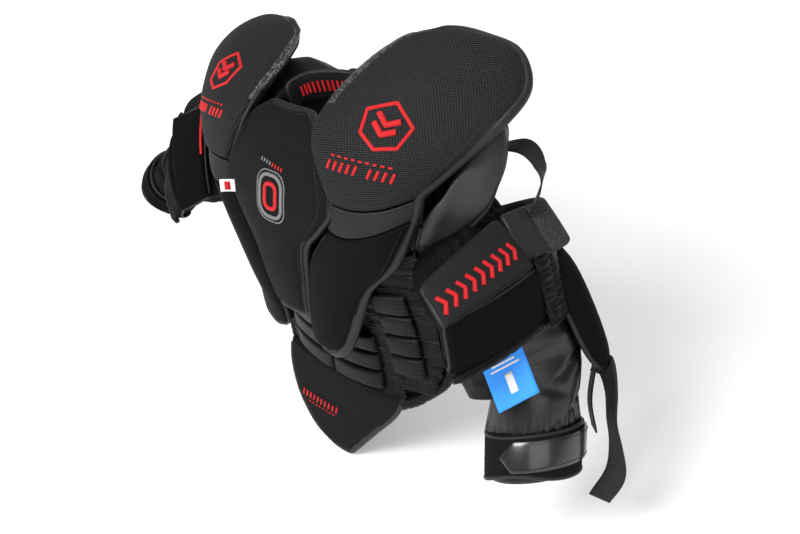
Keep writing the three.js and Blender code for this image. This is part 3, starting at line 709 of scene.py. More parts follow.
for side, sign in sideSigns.items():
    heart = (sign * 120, 60, -100)
    _, _, strip, start = neckTrim[side]
    sewnPads.update({
        f"shoulder_cap_{side}": {
            "slot": "mesh_knit", "finish": "meshKnit", "fill": 0.8, "limit": 2.5,
            "heart": (sign * 140, 50, -70),
            "rows": capPattern(side), "thick": 18, "crown": 5, "lift": 6, "ramp": 0.5, "cell": 4.0,
            "roundLast": 0.3, "edges": {"first": 1.2, "last": 8, "inner": 7, "outer": 8},
            "borders": [(9, ("last", "outer"), "binding", 0), (strip, ("inner",), "silverMesh", start)],
        },
        f"cap_band_{side}": {
            "slot": "slate_cloth", "finish": "slateCloth", "fill": 0.7, "limit": 0.4, "heart": heart,
            "rows": sideRows(bandRows, side), "thick": 13,
            "edges": {"first": 0.8, "last": 0.8, "inner": 2, "outer": 6},
        },
        f"chest_plate_{side}": {
            "slot": "plate_cloth", "finish": "plateCloth", "fill": 0.8, "limit": 1.5, "heart": heart,
            "rows": sideRows(plateRows, side), "thick": 15, "crown": 2, "roundLast": 0.25, "cell": 4.0,
            "edges": {"first": 0.8, "last": 7, "inner": 4, "outer": 7},
            "borders": [(11, ("last", "outer"), "binding", 0)],
        },
        f"shoulder_floater_{side}": {
            "slot": "nylon", "finish": "satinNylon", "fill": 0.6, "limit": 1,
            "heart": (sign * 150, 20, -80),
            "rows": sideRows(floaterRows, side, shoulderLift[side]), "thick": 9, "crown": 2, "cell": 3.6,
            "edges": {"first": 3, "last": 3, "inner": 3, "outer": 4},
            "borders": [(8, ("outer",), "binding", 0)], "crumple": (2.4, 22),
        },
    })
softPads = {
    "chest_base": {"limit": 3, "fill": 0.4, "voxel": 5.2, "levels": 0},  # nearly all of it is covered
    "shoulder_yoke_left": {"limit": 3, "fill": 0.5, "voxel": 4.5, "levels": 1},
    "shoulder_yoke_right": {"limit": 3, "fill": 0.5, "voxel": 4.5, "levels": 1},
}

pads = {}
rims = {}
for node, look in sewnPads.items():
    pad, rims[node] = sewnPad(f"{node}_pad", look["rows"], look.get("heart", chestHeart), look)
    pads[node] = handOver(pad, look["slot"], look["finish"], [node], look["fill"])
    for _, _, finish, _ in look.get("borders", ()):
        pad.data.materials.append(finishes[finish])
for node, look in softPads.items():
    pads[node] = handOver(softPad(node, look), "nylon", "nylon", [node], look["fill"])
print("chest pads:", len(pads))


lining = {"top": 26, "drop": 110, "spread": 1.12, "thick": 3, "limit": 0.3, "edges": {}, "cell": 8}
liningEnds = [(-66, -32, 16), (-66, -14, 16)]  # it runs on in front of the collar
liningRows = [
    [
        spot(0.97 * x, 0.95 * y + 2, top - lining["top"]),
        spot(x, y + 10, top - lining["top"] - lining["drop"] / 2),
        spot(x * lining["spread"], y + 20, top - lining["top"] - lining["drop"]),
    ]
    for x, y, top in [*liningEnds, *collarTable, *((-x, y, top) for x, y, top in reversed(liningEnds))]
]
pad, _ = sewnPad("neck_lining", liningRows, (0, 120, -60), lining)
handOver(pad, "nylon", "nylon", fill=0.2)


# Bound edges: one roll from the top of each cap down its outer edge and round the plate, one for each pad

edgeTrim = {
    "cap": 6.8, "piping": 1.5, "plate": 3.0, "neck": 3.0, "floater": 4.2, "sternum_pad": 4.6,
    "belly_flap": 3.8,
    "back_panel": 4.6, "neck_collar": 3.6, "step": 3.0,
}
capTaper = {"end": 0.35, "start": 9, "finish": 12}


def boundEdge(name, line, radius, closed=False, taper=None, finish="binding", slot="nylon"):
    obj = rolls(name, [eased(evenly(line, edgeTrim["step"] * mm))], radius * mm, 3, closed, taper)
    return handOver(obj, slot, finish)


def roundRim(node, radius, edges, inset=0.5):
    line = []
    for edge, start, end in edges:
        line += rimLine(rims[node], edge, inset * radius, start, end)
    return line


for side in sideSigns:
    stems = ("shoulder_cap", "cap_band", "chest_plate", "shoulder_floater")
    cap, band, plate, floater = (f"{stem}_{side}" for stem in stems)
    radius = edgeTrim["cap"]
    route = roundRim(cap, radius, [("inner", 0.88, 0.98), ("last", 0.02, 0.98), ("outer", 0.98, 0)])
    route += roundRim(band, radius, [("outer", 0, 1)])
    route += roundRim(plate, radius, [("outer", 0, 0.97), ("last", 0.94, 0.06)])
    end = capTaper["end"]
    boundEdge(
        f"cap_binding_{side}", route, radius,
        taper=lambda k: min(1, end + capTaper["start"] * k, end + capTaper["finish"] * (1 - k)),
    )
    piping = roundRim(plate, edgeTrim["plate"], [("inner", 0.98, 0.05)])
    boundEdge(f"plate_piping_{side}", piping, edgeTrim["plate"])
    skin = skinOf(pads[cap], pads[band])
    pattern = sideRows(bandRows, side)
    seam = [nearSkin(skin, panelSpot(pattern, 0, 0.03 + 0.94 * k / 40), 0.0002) for k in range(41)]
    boundEdge(f"band_piping_{side}", seam, edgeTrim["piping"])
    width, inset, _, start = neckTrim[side]
    boundEdge(f"cap_piping_{side}", rimLine(rims[cap], "inner", 2.0, 0.03, start + 0.05), edgeTrim["neck"])
    boundEdge(
        f"neck_trim_{side}", rimLine(rims[cap], "inner", inset, start, 0.9), width,
        finish="silverMesh", slot="mesh_knit",
        taper=lambda k: 0.45 + 0.55 * math.sin(math.pi * min(max(k, 0.06), 0.94)),
    )
    radius = edgeTrim["floater"]
    route = roundRim(floater, radius, [("first", 0.2, 0.97), ("outer", 0.03, 0.97), ("last", 0.97, 0.1)])
    boundEdge(f"floater_binding_{side}", route, radius)

allRound = [("outer", 0.98, 0.02), ("first", 0.98, 0.02), ("inner", 0.02, 0.98), ("last", 0.02, 0.98)]
padEdges = {  # pad, edges in turn and whether the roll meets itself
    "sternum": ("sternum_pad", allRound, True),
    "back": ("back_panel", allRound, True),
    "collar": ("neck_collar", [("first", 0.95, 0.05), ("inner", 0.01, 0.99), ("last", 0.05, 0.95)], False),
    "flap": ("belly_flap", [("inner", 0.06, 0.98), ("last", 0.05, 0.95), ("outer", 0.98, 0.06)], False),
}
for name, (node, edges, closed) in padEdges.items():
    radius = edgeTrim[node]
    boundEdge(f"{name}_binding", roundRim(node, radius, edges), radius, closed)


def seamOn(node, shares, rise=0.1):
    look = sewnPads[node]
    heart = spot(*look.get("heart", chestHeart))
    skin = skinOf(pads[node])
    places = [panelSpot(look["rows"], *rowShare(s, t, look)) for s, t in shares]
    return [droppedOn(skin, p, (p - heart).normalized(), rise * mm) for p in places]


def shareRun(*corners, count=40):
    run = []
    for (s0, t0), (s1, t1) in zip(corners, corners[1:]):
        run += [(s0 + (s1 - s0) * k / count, t0 + (t1 - t0) * k / count) for k in range(count + 1)]
    return run


borderStitch = {"length": 0.0034, "gap": 0.002, "radius": 0.5}
borderRuns = {
    "shoulder_cap": shareRun((0.03, 0.925), (0.935, 0.925), (0.935, 0.1)),
    "chest_plate": shareRun((0.03, 0.89), (0.92, 0.89), (0.94, 0.15)),
    "shoulder_floater": shareRun((0.05, 0.78), (0.95, 0.78)),
}


def stitchedSeam(name, node, run):
    dashes = stitchRuns(seamOn(node, run), borderStitch["length"], borderStitch["gap"])
    sewnThread(name, dashes, borderStitch["radius"], sewnPads[node]["slot"])


for side in sideSigns:
    for stem, run in borderRuns.items():
        stitchedSeam(f"{stem}_{side}_stitching", f"{stem}_{side}", run)
sternumRun = shareRun((0.96, 0.93), (0.05, 0.93), (0.05, 0.07), (0.96, 0.07))
stitchedSeam("sternum_stitching", "sternum_pad", sternumRun)
print("bound edges done")


# Belly: rows of sewn blocks, ruched strips beside them and a rolled edge

def baseFace(x, z):
    for upper, lower in zip(baseLevels, baseLevels[1:]):
        if lower[0] <= z:
            break  # below the hem the last pair runs on
    share = (upper[0] - z) / (upper[0] - lower[0])
    depth = [middle + (edge - middle) * (x / half) ** 2 for _, half, middle, edge in (upper, lower)]
    return depth[0] + (depth[1] - depth[0]) * share


bellyBlocks = {
    "row": {"left": 0.5, "right": 86, "top": -277, "height": 26.5, "pitch": 28.5, "count": 3, "slope": 0.06},
    "side": {"left": 104, "right": 148, "top": -196, "height": 29.5, "pitch": 32, "count": 4, "slope": 0.05},
}
blockLook = {
    "thick": 15, "crown": 1.8, "cell": 2.4, "limit": 0.8, "rise": 15, "sink": 2,
    "pucker": 0.5, "puckerPitch": 5.2, "puckerReach": 8,
    "edges": {"first": 3, "last": 3, "inner": 3, "outer": 3},
}


def blockRows(sign, size, number):
    left, right, low = size["left"], size["right"], blockLook["sink"]
    rows = []
    for share in (0, 0.5, 1):
        z = size["top"] - size["pitch"] * number - size["height"] * share
        row = []
        for x, sink in ((left, low), ((left + right) / 2, 0), (right, low)):
            depth = baseFace(x, z) - blockLook["rise"] + sink
            row.append(spot(sign * x, depth, z + size["slope"] * (x - left)))
        rows.append(row)
    return rows


def puckerEnds(pad, size):
    points = pointsOf(pad)
    across = np.abs(points[:, 0]) / mm
    toEnd = np.minimum(np.abs(across - size["left"]), np.abs(across - size["right"]))
    near = np.exp(-((toEnd / blockLook["puckerReach"]) ** 2))
    waver = np.array([noise.noise(Vector(p) * 90) for p in points])
    fold = np.sin(points[:, 2] / mm * 2 * math.pi / blockLook["puckerPitch"] + 5 * waver)
    movePoints(pad, points + normalsOf(pad) * (blockLook["pucker"] * mm * near * fold)[:, None])


for side, sign in sideSigns.items():
    for kind, size in bellyBlocks.items():
        for number in range(size["count"]):
            node = f"belly_{kind}_{side}_{number + 1}"
            pad, _ = sewnPad(f"{node}_pad", blockRows(sign, size, number), chestHeart, blockLook)
            puckerEnds(pad, size)
            handOver(pad, "nylon", "nylon", [node], 0.7)


def rucheStrip(name, rows, heart, look, seed):
    grid = panelGrid(rows, look)
    out = facing(grid, heart)
    along = runLength(grid, 0) / mm
    t = np.linspace(-1, 1, grid.shape[1])
    rise = np.zeros(along.shape)
    for i in range(grid.shape[0]):
        for j in range(grid.shape[1]):
            waver = noise.noise(Vector((along[i, j] / 9, t[j] * 1.3, seed)))
            size = noise.noise(Vector((along[i, j] / 14, t[j] * 0.6, seed + 5)))
            fold = math.sin(2 * math.pi * along[i, j] / look["pitch"] + 6 * waver)
            rise[i, j] = look["depth"] * (0.75 + size) * fold * (0.45 + 0.55 * t[j] ** 2)
    seam = look["seam"] * np.exp(-((t / 0.12) ** 2))
    rise += look["lift"] + look["crown"] * (1 - t ** 4) - seam
    grid = grid + out * (rise * mm)[..., None]
    lines = [[Vector(p) for p in line] for line in grid]
    inward = np.cross(grid[1, 0] - grid[0, 0], grid[0, 1] - grid[0, 0]).dot(out[0, 0]) > 0
    return gridPiece(name, lines, look["thick"] * mm, flip=bool(inward))


bellyStrips = {
    "inner": {"x": (79, 111), "z": (-214, -380), "lift": 0, "taper": 0},
    "outer": {"x": (112, 167), "z": (-186, -346), "lift": 0, "taper": 18},
    "upper": {"x": (104, 168), "z": (-136, -204), "lift": -2, "taper": 0},
}
stripLook = {
    "cell": 1.4, "pitch": 6.4, "depth": 1.9, "crown": 0, "seam": 0.8, "thick": 8.0, "rise": 7,
    "taperFrom": -296, "taperOver": 50,
}
for side, sign in sideSigns.items():
    for kind, strip in bellyStrips.items():
        rows = []
        inner, wide = strip["x"]
        top, end = strip["z"]
        for k in range(9):
            z = top + (end - top) * k / 8
            outer = wide - strip["taper"] * max(0, (stripLook["taperFrom"] - z) / stripLook["taperOver"])
            xs = (inner, (inner + outer) / 2, outer)
            rows.append([spot(sign * x, baseFace(x, z) - stripLook["rise"], z) for x in xs])
        look = {**stripLook, "lift": strip["lift"]}
        piece = rucheStrip(f"belly_ruche_{kind}_{side}", rows, chestHeart, look, len(kind) + sign)
        handOver(piece, "nylon", "nylon", fill=0.3)

rollRoute = [
    (164, -13, -185), (166, -4, -235), (167, 2, -290), (157, 0, -328), (138, -10, -350), (119, -20, -366),
    (104, -27, -373), (94, -30, -372),
]
bellyRoll = {"radius": 7.6, "pucker": 0.5, "pitch": 6.0}
rollStep = 0.0014


def roundedEnds(k):
    return min(1, 0.55 + 9 * k, 0.55 + 9 * (1 - k))


def rippledRoll(name, line, look):
    roll = rolls(name, [evenly(line, rollStep)], look["radius"] * mm, 4, taper=roundedEnds)
    points = pointsOf(roll)
    ripple = np.array([
        math.sin(p[2] / mm * 2 * math.pi / look["pitch"] + 5 * noise.noise(Vector(p) * 70)) for p in points
    ])
    movePoints(roll, points + normalsOf(roll) * (look["pucker"] * mm * ripple)[:, None])
    return roll


for side, sign in sideSigns.items():
    knots = [spot(sign * x, y, z) for x, y, z in rollRoute]
    roll = rippledRoll(f"belly_roll_{side}", [through(knots, k / 60) for k in range(61)], bellyRoll)
    handOver(roll, "nylon", "nylon", [f"belly_edge_{side}"], 0.5)
print("belly done")


# Arms, in a frame that hangs from each shoulder

armPoses = {
    "left": {
        "shoulder": (150, 10, -30), "abduct": 23.6, "swing": 3, "twist": 0, "bend": 22.4, "fold": 0,
        "draw": 1,
        "forearm": 1, "slim": 1, "press": 0,
    },
    "right": {
        "shoulder": (150, 15, -40), "abduct": 50, "swing": 4, "twist": 66, "bend": 6, "fold": 70,
        "draw": 0.86,
        "forearm": 0.9, "slim": 0.92, "press": 1,
    },
}
# How flat the far arm lies, level by level
pressTable = [(-150, 0), (-205, 0.5), (-235, 0.48), (-265, 0.38), (-300, 0.25), (-380, 0.1)]
pressHeart = (10, 30)
elbowDrop = -222
sleeveEnd = -329
cuffEnd = -373
ringLean = 0.6
sleeveTable = [
    (30, -8, 16, 30, 38), (-60, -8, 18, 31, 43), (-98, -5, 10, 39, 60), (-128, 2, 4, 46, 72),
    (-187, 8, 10, 52, 72), (elbowDrop, 12, 30, 51, 64), (-262, 11, 50, 50, 55),
    (cuffEnd - 10, 9, 50, 49, 51),
]


def armMatrix(side):
    pose = armPoses[side]
    turn = Matrix.Identity(4)
    for axis, angle in (("Y", pose["abduct"]), ("X", pose["swing"]), ("Z", pose["twist"])):
        turn = turn @ Matrix.Rotation(-math.radians(angle), 4, axis)
    place = Matrix.Translation(spot(*pose["shoulder"])) @ turn
    return place if side == "left" else Matrix.Diagonal((-1, 1, 1, 1)) @ place


def armPlace(side, point):
    x, y, z = point
    pose = armPoses[side]
    levels, shares = zip(*reversed(pressTable))
    reach = max(0, x - pressHeart[0] + y - pressHeart[1]) / 2
    pressed = reach * pose["press"] * float(np.interp(z, levels, shares))
    z = max(z, elbowDrop) + pose["forearm"] * min(0, z - elbowDrop)
    return armMatrix(side) @ spot(x - pressed, y - pressed, z)


def armSkin(side):
    pose = armPoses[side]
    forward = [math.tan(math.radians(pose["bend"])) * min(0, z - elbowDrop) for z, *_ in sleeveTable]
    centres = [Vector((x, y + push, z)) for (z, x, y, _, _), push in zip(sleeveTable, forward)]
    lean = ringLean * math.tan(math.radians(pose["bend"]))
    spreads = [Vector((wide, deep, z)) for z, _, _, wide, deep in sleeveTable]

    def onArm(z, turn, rise=0.0):
        k = next((i for i in range(1, len(sleeveTable)) if sleeveTable[i][0] <= z), len(sleeveTable) - 1)
        upper, lower = sleeveTable[k - 1][0], sleeveTable[k][0]
        share = (k - 1 + (upper - z) / (upper - lower)) / (len(sleeveTable) - 1)
        centre, spread = through(centres, share), through(spreads, share)
        angle = math.radians(turn)
        bent = min(max((elbowDrop - z) / (elbowDrop - sleeveEnd), 0), 1)
        slim = 1 + (pose["slim"] - 1) * bent
        x = centre.x + (spread.x * slim + rise) * math.cos(angle)
        y = centre.y + (spread.y * slim + rise) * math.sin(angle)
        return armPlace(side, (x, y, z - lean * bent * (y - centre.y)))

    return onArm


allEdges = ("first", "last", "inner", "outer")
armPads = {
    "upper_arm_panel": {
        "slot": "mesh_knit", "finish": "panelKnit", "fill": 0.8, "limit": 0.8, "thick": 20, "crown": 1.5,
        "cell": 3.5, "edges": {"first": 4, "last": 3, "inner": 4, "outer": 4}, "binding": 1.5,
    },
    "elbow_block": {
        "slot": "suede", "finish": "suede", "fill": 0.8, "limit": 0.8, "thick": 22, "crown": 1.5,
        "cell": 3.5,
        "edges": {edge: 5 for edge in allEdges}, "binding": 2.0,
    },
    "elbow_wing": {
        "slot": "suede", "finish": "suede", "fill": 0.6, "limit": 1, "thick": 11, "crown": 1, "lift": 8,
        "cell": 3.5, "edges": {edge: 5 for edge in allEdges}, "binding": 3.4,
    },
    "arm_band": {
        "slot": "loop_pile", "finish": "loopPile", "fill": 0.5, "limit": 0.6, "thick": 12, "crown": 0,
        "cell": 3.5, "edges": {edge: 3 for edge in allEdges},
    },
}
farArmShadedFinishes = {"upper_arm_panel": "suede", "arm_band": "cuffPile"}  # the far arm takes darker finishes as painted shade, where it turns away from the light
guards = {  # rows: drop, sink, slope, reach to the front and to the rear
    "upper_arm_panel": {
        "centre": (66, -42, -128), "tilt": 24.6, "ends": (7, 7),
        "reach": {"left": (1, 1), "right": (0.76, 1.22)},
        "rows": ((-28, 0, 13, 60, 62), (0, 0, 9, 62, 66), (28, 0, 5, 64, 71)),
    },
    "elbow_block": {
        "centre": (73, -36, -184), "tilt": -15, "ends": (9, 6),
        "reach": {"left": (1, 1), "right": (0.66, 0.9)},
        "rows": ((-25, 0, 3.5, 69, 69), (0, 0, 3.5, 69, 69), (25, 0, 3.5, 69, 69), (34, 9, 3.5, 68, 68)),
    },
}
wingTable = [
    [(52, 50, -146), (49, 74, -142), (18, 87, -138)],
    [(57, 53, -175), (58, 82, -172), (22, 96, -168)],
    [(61, 56, -215), (63, 86, -215), (22, 101, -214)],
    [(64, 62, -258), (64, 88, -262), (30, 102, -262)],
    [(64, 72, -282), (60, 87, -287), (40, 99, -286)],
]
wingPivot = (8, 10)
bandTurns = (26, 36, 46, 56, 68, 84, 104, 124, 144)
bandLevels = (-90, -117, -145)


def guardSpot(side, guard, u, v, sink, slope):
    tilt = math.radians(guard["tilt"])
    out = Vector((math.cos(tilt), 0, math.sin(tilt)))
    down = Vector((math.sin(tilt), 0, -math.cos(tilt)))
    along = Vector((0, u, u * math.tan(math.radians(slope))))
    return armPlace(side, Vector(guard["centre"]) + down * v - out * sink + along)


def guardRows(side, guard):
    front, rear = guard["ends"]
    ahead, behind = guard["reach"][side]
    rows = []
    for v, sink, slope, reachFront, reachRear in guard["rows"]:
        first, last = -reachFront * ahead, reachRear * behind
        ends = ((first, front), ((first + last) / 2, 0), (last, rear))
        rows.append([guardSpot(side, guard, u, v, sink + end, slope) for u, end in ends])
    return rows


def wingRows(side):
    pose = armPoses[side]
    turn = Matrix.Rotation(math.radians(pose["fold"]), 3, "Z")
    rows = []
    for row in wingTable:
        line = []
        for x, y, z in row:
            folded = turn @ Vector((x - wingPivot[0], y - wingPivot[1], 0)) * pose["draw"]
            line.append(armPlace(side, (folded.x + wingPivot[0], folded.y + wingPivot[1], z)))
        rows.append(line)
    return rows


bandLift = 10
bandCorner = {"left": (35, 46, 24), "right": (5, 40, 24)}  # the band stands off as a boxy corner


def bandRise(side, turn):
    much, middle, spread = bandCorner[side]
    return bandLift + much * math.exp(-(((turn - middle) / spread) ** 2))


def armRows(stem, side):
    if stem in guards:
        return guardRows(side, guards[stem])
    if stem == "elbow_wing":
        return wingRows(side)
    onArm = armSkin(side)
    return [[onArm(z, turn, bandRise(side, turn)) for z in bandLevels] for turn in bandTurns]


elbowRoll = {
    "radius": 5.6, "pucker": 0.4, "pitch": 7.0, "half": 69, "level": 33.5, "sink": 2, "round": 7,
    "slope": 3.5,
    "stops": (-1.03, -0.5, 0, 0.5, 0.95), "tail": ((58, 50, -214), (51, 68, -209)),
}
bandStrip = {
    "turns": (10, 16, 22, 28), "rise": 1.5, "thick": 8, "crown": 0, "cell": 2.4, "limit": 0.5,
    "edges": {edge: 2 for edge in allEdges}, "seam": 20, "seamRise": 2, "seamEnds": (-94, -141),
}
for side in sideSigns:
    heart = tuple((armMatrix(side) @ spot(4, 10, -170)) / mm)
    for stem, look in armPads.items():
        node = f"{stem}_{side}"
        pad, rims[node] = sewnPad(f"{node}_pad", armRows(stem, side), heart, look)
        # on the far arm the darker finishes are painted shade
        finish = farArmShadedFinishes.get(stem, look["finish"]) if side == "right" else look["finish"]
        pads[node] = handOver(pad, look["slot"], finish, [node], look["fill"])
        if "binding" in look:
            radius = look["binding"]
            boundEdge(f"{stem}_binding_{side}", roundRim(node, radius, allRound), radius, True)
    onArm = armSkin(side)
    rows = [
        [onArm(z, turn, bandRise(side, turn) + bandStrip["rise"]) for z in bandLevels]
        for turn in bandStrip["turns"]
    ]
    strip, _ = sewnPad(f"arm_strip_{side}", rows, heart, bandStrip)
    handOver(strip, "nylon", "binding", fill=0.4)
    skin = skinOf(strip)
    turn = bandStrip["seam"]
    rise = bandRise(side, turn) + bandStrip["seamRise"]
    seam = [nearSkin(skin, onArm(z, turn, rise), 0.0002) for z in np.linspace(*bandStrip["seamEnds"], 30)]
    sewnThread(f"arm_strip_stitching_{side}", stitchRuns(seam, 0.003, 0.0018), 0.45, "nylon")
    guard = guards["elbow_block"]
    half = elbowRoll["half"] * guard["reach"][side][0]
    line = []
    for k in elbowRoll["stops"]:
        sink = elbowRoll["sink"] + elbowRoll["round"] * k * k
        line.append(guardSpot(side, guard, half * k, elbowRoll["level"], sink, elbowRoll["slope"]))
    line += [armPlace(side, p) for p in elbowRoll["tail"]]
    line = [through(line, k / 60) for k in range(61)]
    handOver(rippledRoll(f"elbow_roll_{side}", line, elbowRoll), "nylon", "nylon", fill=0.5)

gatherTable = [(-144, 0), (-168, 1), (-192, 2), (-215, 3)]  # level and how far it draws in
gatherLook = {"cell": 1.2, "pitch": 7.0, "crown": 2.5, "seam": 2.6, "thick": 7.0}
gatherSides = {  # the far arm's strip starts a row lower
    "left": {"depth": 1.9, "lift": 6, "start": 0}, "right": {"depth": 0.7, "lift": 0, "start": 1},
}
for side, sign in sideSigns.items():
    heart = tuple((armMatrix(side) @ spot(4, 10, -200)) / mm)
    rows = []
    for z, drawn in gatherTable[gatherSides[side]["start"]:]:
        row = [(66 - drawn, 26, z), (65 - drawn, 46, z + 2), (57 - drawn, 67, z + 5)]
        rows.append([armPlace(side, p) for p in row])
    piece = rucheStrip(f"elbow_ruche_{side}", rows, heart, {**gatherLook, **gatherSides[side]}, 3 * sign)
    handOver(piece, "nylon", "nylon", [f"elbow_gather_{side}"], 0.3)
print("arm pads done")


# Sleeves, cuffs and wrist straps

cuff = {
    "columns": 140, "rows": 22, "wall": 5.0, "rise": 2.0, "fuzz": 0.55, "rim": 2.4, "rimSink": 1.4,
    "cut": (-66, 44, 9), "lining": 5.5,
}
sleeve = {
    "columns": 108, "rows": 112, "wall": 2.6, "armhole": (-17, -38, 1.257), "top": 10, "lowestTop": -92,
    # the far sleeve's plateCloth is painted shade; above change both sleeves take plateCloth, partly painted
    # shade under the shoulder pads and partly a matt cloth
    "change": -205, "finish": {"left": "ribNylon", "right": "plateCloth"},
    "folds": 1.6, "foldLevels": (-205, -221, -236, -249, -263), "foldWide": 5.5, "foldBow": 7,
    "gathers": 1.5, "dents": 6.0, "pleats": 1.6, "bulge": (14, -236, 24),
    "creases": [(-258, 0.5, 20, 4.0), (-286, -0.35, -15, 3.2), (-246, -0.6, 48, 4.0), (-304, 0.3, 30, 2.6)],
    "under": [
        "shoulder_floater", "shoulder_cap", "cap_band", "chest_plate", "upper_arm_panel", "elbow_block",
        "arm_band", "elbow_wing",
    ],
}


def sleeveTop(side, turn):
    lean = math.radians(armPoses[side]["twist"])
    x, y = -8 + 30.5 * math.cos(math.radians(turn)), 16 + 41 * math.sin(math.radians(turn))
    straight = x * math.cos(lean) + y * math.sin(lean)
    nearX, nearZ, slope = sleeve["armhole"]
    return max(min(sleeve["top"], nearZ + slope * (straight - nearX)), sleeve["lowestTop"])


def ringNoise(angle, wide, height):
    return noise.noise(Vector((math.cos(angle) * wide, math.sin(angle) * wide, height)))


def sleeveRise(z, turn, seed):
    angle = math.radians(turn)
    rise = 1.2 * ringNoise(angle, 1.6, z / 34 + seed)
    for k, level in enumerate(sleeve["foldLevels"]):
        bow = level + sleeve["foldBow"] * math.sin(angle + 1.7 * k + seed)
        full = sleeve["folds"] * (0.6 + 0.4 * math.sin(2 * angle + k))
        rise += full * math.exp(-(((z - bow) / sleeve["foldWide"]) ** 2))
    rise += sleeve["dents"] * ringNoise(angle, 1.1, z / 62 + 2 * seed)
    much, level, spread = sleeve["bulge"]
    rise += much * math.exp(-(((z - level) / spread) ** 2)) * max(0, -math.sin(angle + 0.5)) ** 2
    for level, slope, middle, deep in sleeve["creases"]:
        off = (turn - middle + 180) % 360 - 180
        rise -= deep * math.exp(-(((z - level - slope * off) / 4.5) ** 2) - (off / 38) ** 2)
    if z > sleeve["change"]:  # pleats in the matt cloth of the upper arm
        rise += sleeve["pleats"] * math.sin(22 * angle + 5 * ringNoise(angle, 2, z / 30) + z / 9)
    near = math.exp(-(((z - sleeveEnd) / 14) ** 2))
    rise += sleeve["gathers"] * near * math.sin(30 * angle + 4 * ringNoise(angle, 4, seed))
    sink = -2.5 if z > -90 else 0
    lined = min(max((sleeveEnd + 2 - z) / 5, 0), 1)  # inside the cuff it is the lining
    return (rise - 1.0 + sink) * (1 - lined) - cuff["lining"] * lined


def tubeRows(onArm, tops, ends, count, columns, rise):
    rows = []
    for i in range(count + 1):
        line = []
        for j in range(columns):
            turn = 360 * j / columns
            z = tops[j] + (ends[j] - tops[j]) * i / count
            line.append(onArm(z, turn, rise(z, turn)))
        rows.append(line)
    return rows


tuck = {"clear": 5.0, "start": 50, "blur": 3, "most": 40}


def tuckUnder(rows, covers):
    count = len(rows[0])
    wanted = np.zeros((len(rows), count))
    hearts = [sum(row, Vector()) / count for row in rows]
    for skin in (skinOf(cover) for cover in covers):
        for i, heart in enumerate(hearts):
            for j, place in enumerate(rows[i]):
                aim = (heart - place).normalized()
                start = place - aim * (tuck["start"] * mm)
                _, _, _, span = skin.ray_cast(start, aim, (heart - start).length)
                if span is not None:
                    wanted[i, j] = max(wanted[i, j], span + (tuck["clear"] - tuck["start"]) * mm)
    wanted = np.minimum(wanted, tuck["most"] * mm)
    eased = wanted.copy()
    for _ in range(tuck["blur"]):
        around = (np.roll(eased, 1, 1) + np.roll(eased, -1, 1)) / 2
        along = (np.vstack([eased[:1], eased[:-1]]) + np.vstack([eased[1:], eased[-1:]])) / 2
        eased = np.maximum(wanted, (eased * 2 + around + along) / 4)
    for i, heart in enumerate(hearts):
        for j, place in enumerate(rows[i]):
            rows[i][j] = place + (heart - place).normalized() * eased[i, j]


underlap = {"levels": (-226, -282), "turns": (176, 292), "rise": 32, "crease": 2.2, "sink": 3, "wall": 4.0}


def underlapRows(onArm, seed):
    upper, lower = underlap["levels"]
    start, end = underlap["turns"]
    rows = []
    for k in range(31):
        line = []
        for j in range(61):
            full = math.sin(math.pi * j / 60) ** 0.7 * (0.75 + 0.25 * math.sin(math.pi * k / 30))
            crease = noise.noise(Vector((j / 7, k / 9, seed)))
            turn = start + (end - start) * j / 60
            rise = underlap["rise"] * full + underlap["crease"] * crease - underlap["sink"]
            line.append(onArm(upper + (lower - upper) * k / 30, turn, rise))
        rows.append(line)
    return rows


def cuffRise(z, turn):
    return cuff["rise"] + cuff["fuzz"] * ringNoise(math.radians(turn), 26, z / 1.9)


def cuffLevel(turn):
    middle, spread, much = cuff["cut"]
    off = (turn - middle + 180) % 360 - 180
    return cuffEnd + much * math.exp(-((off / spread) ** 2))


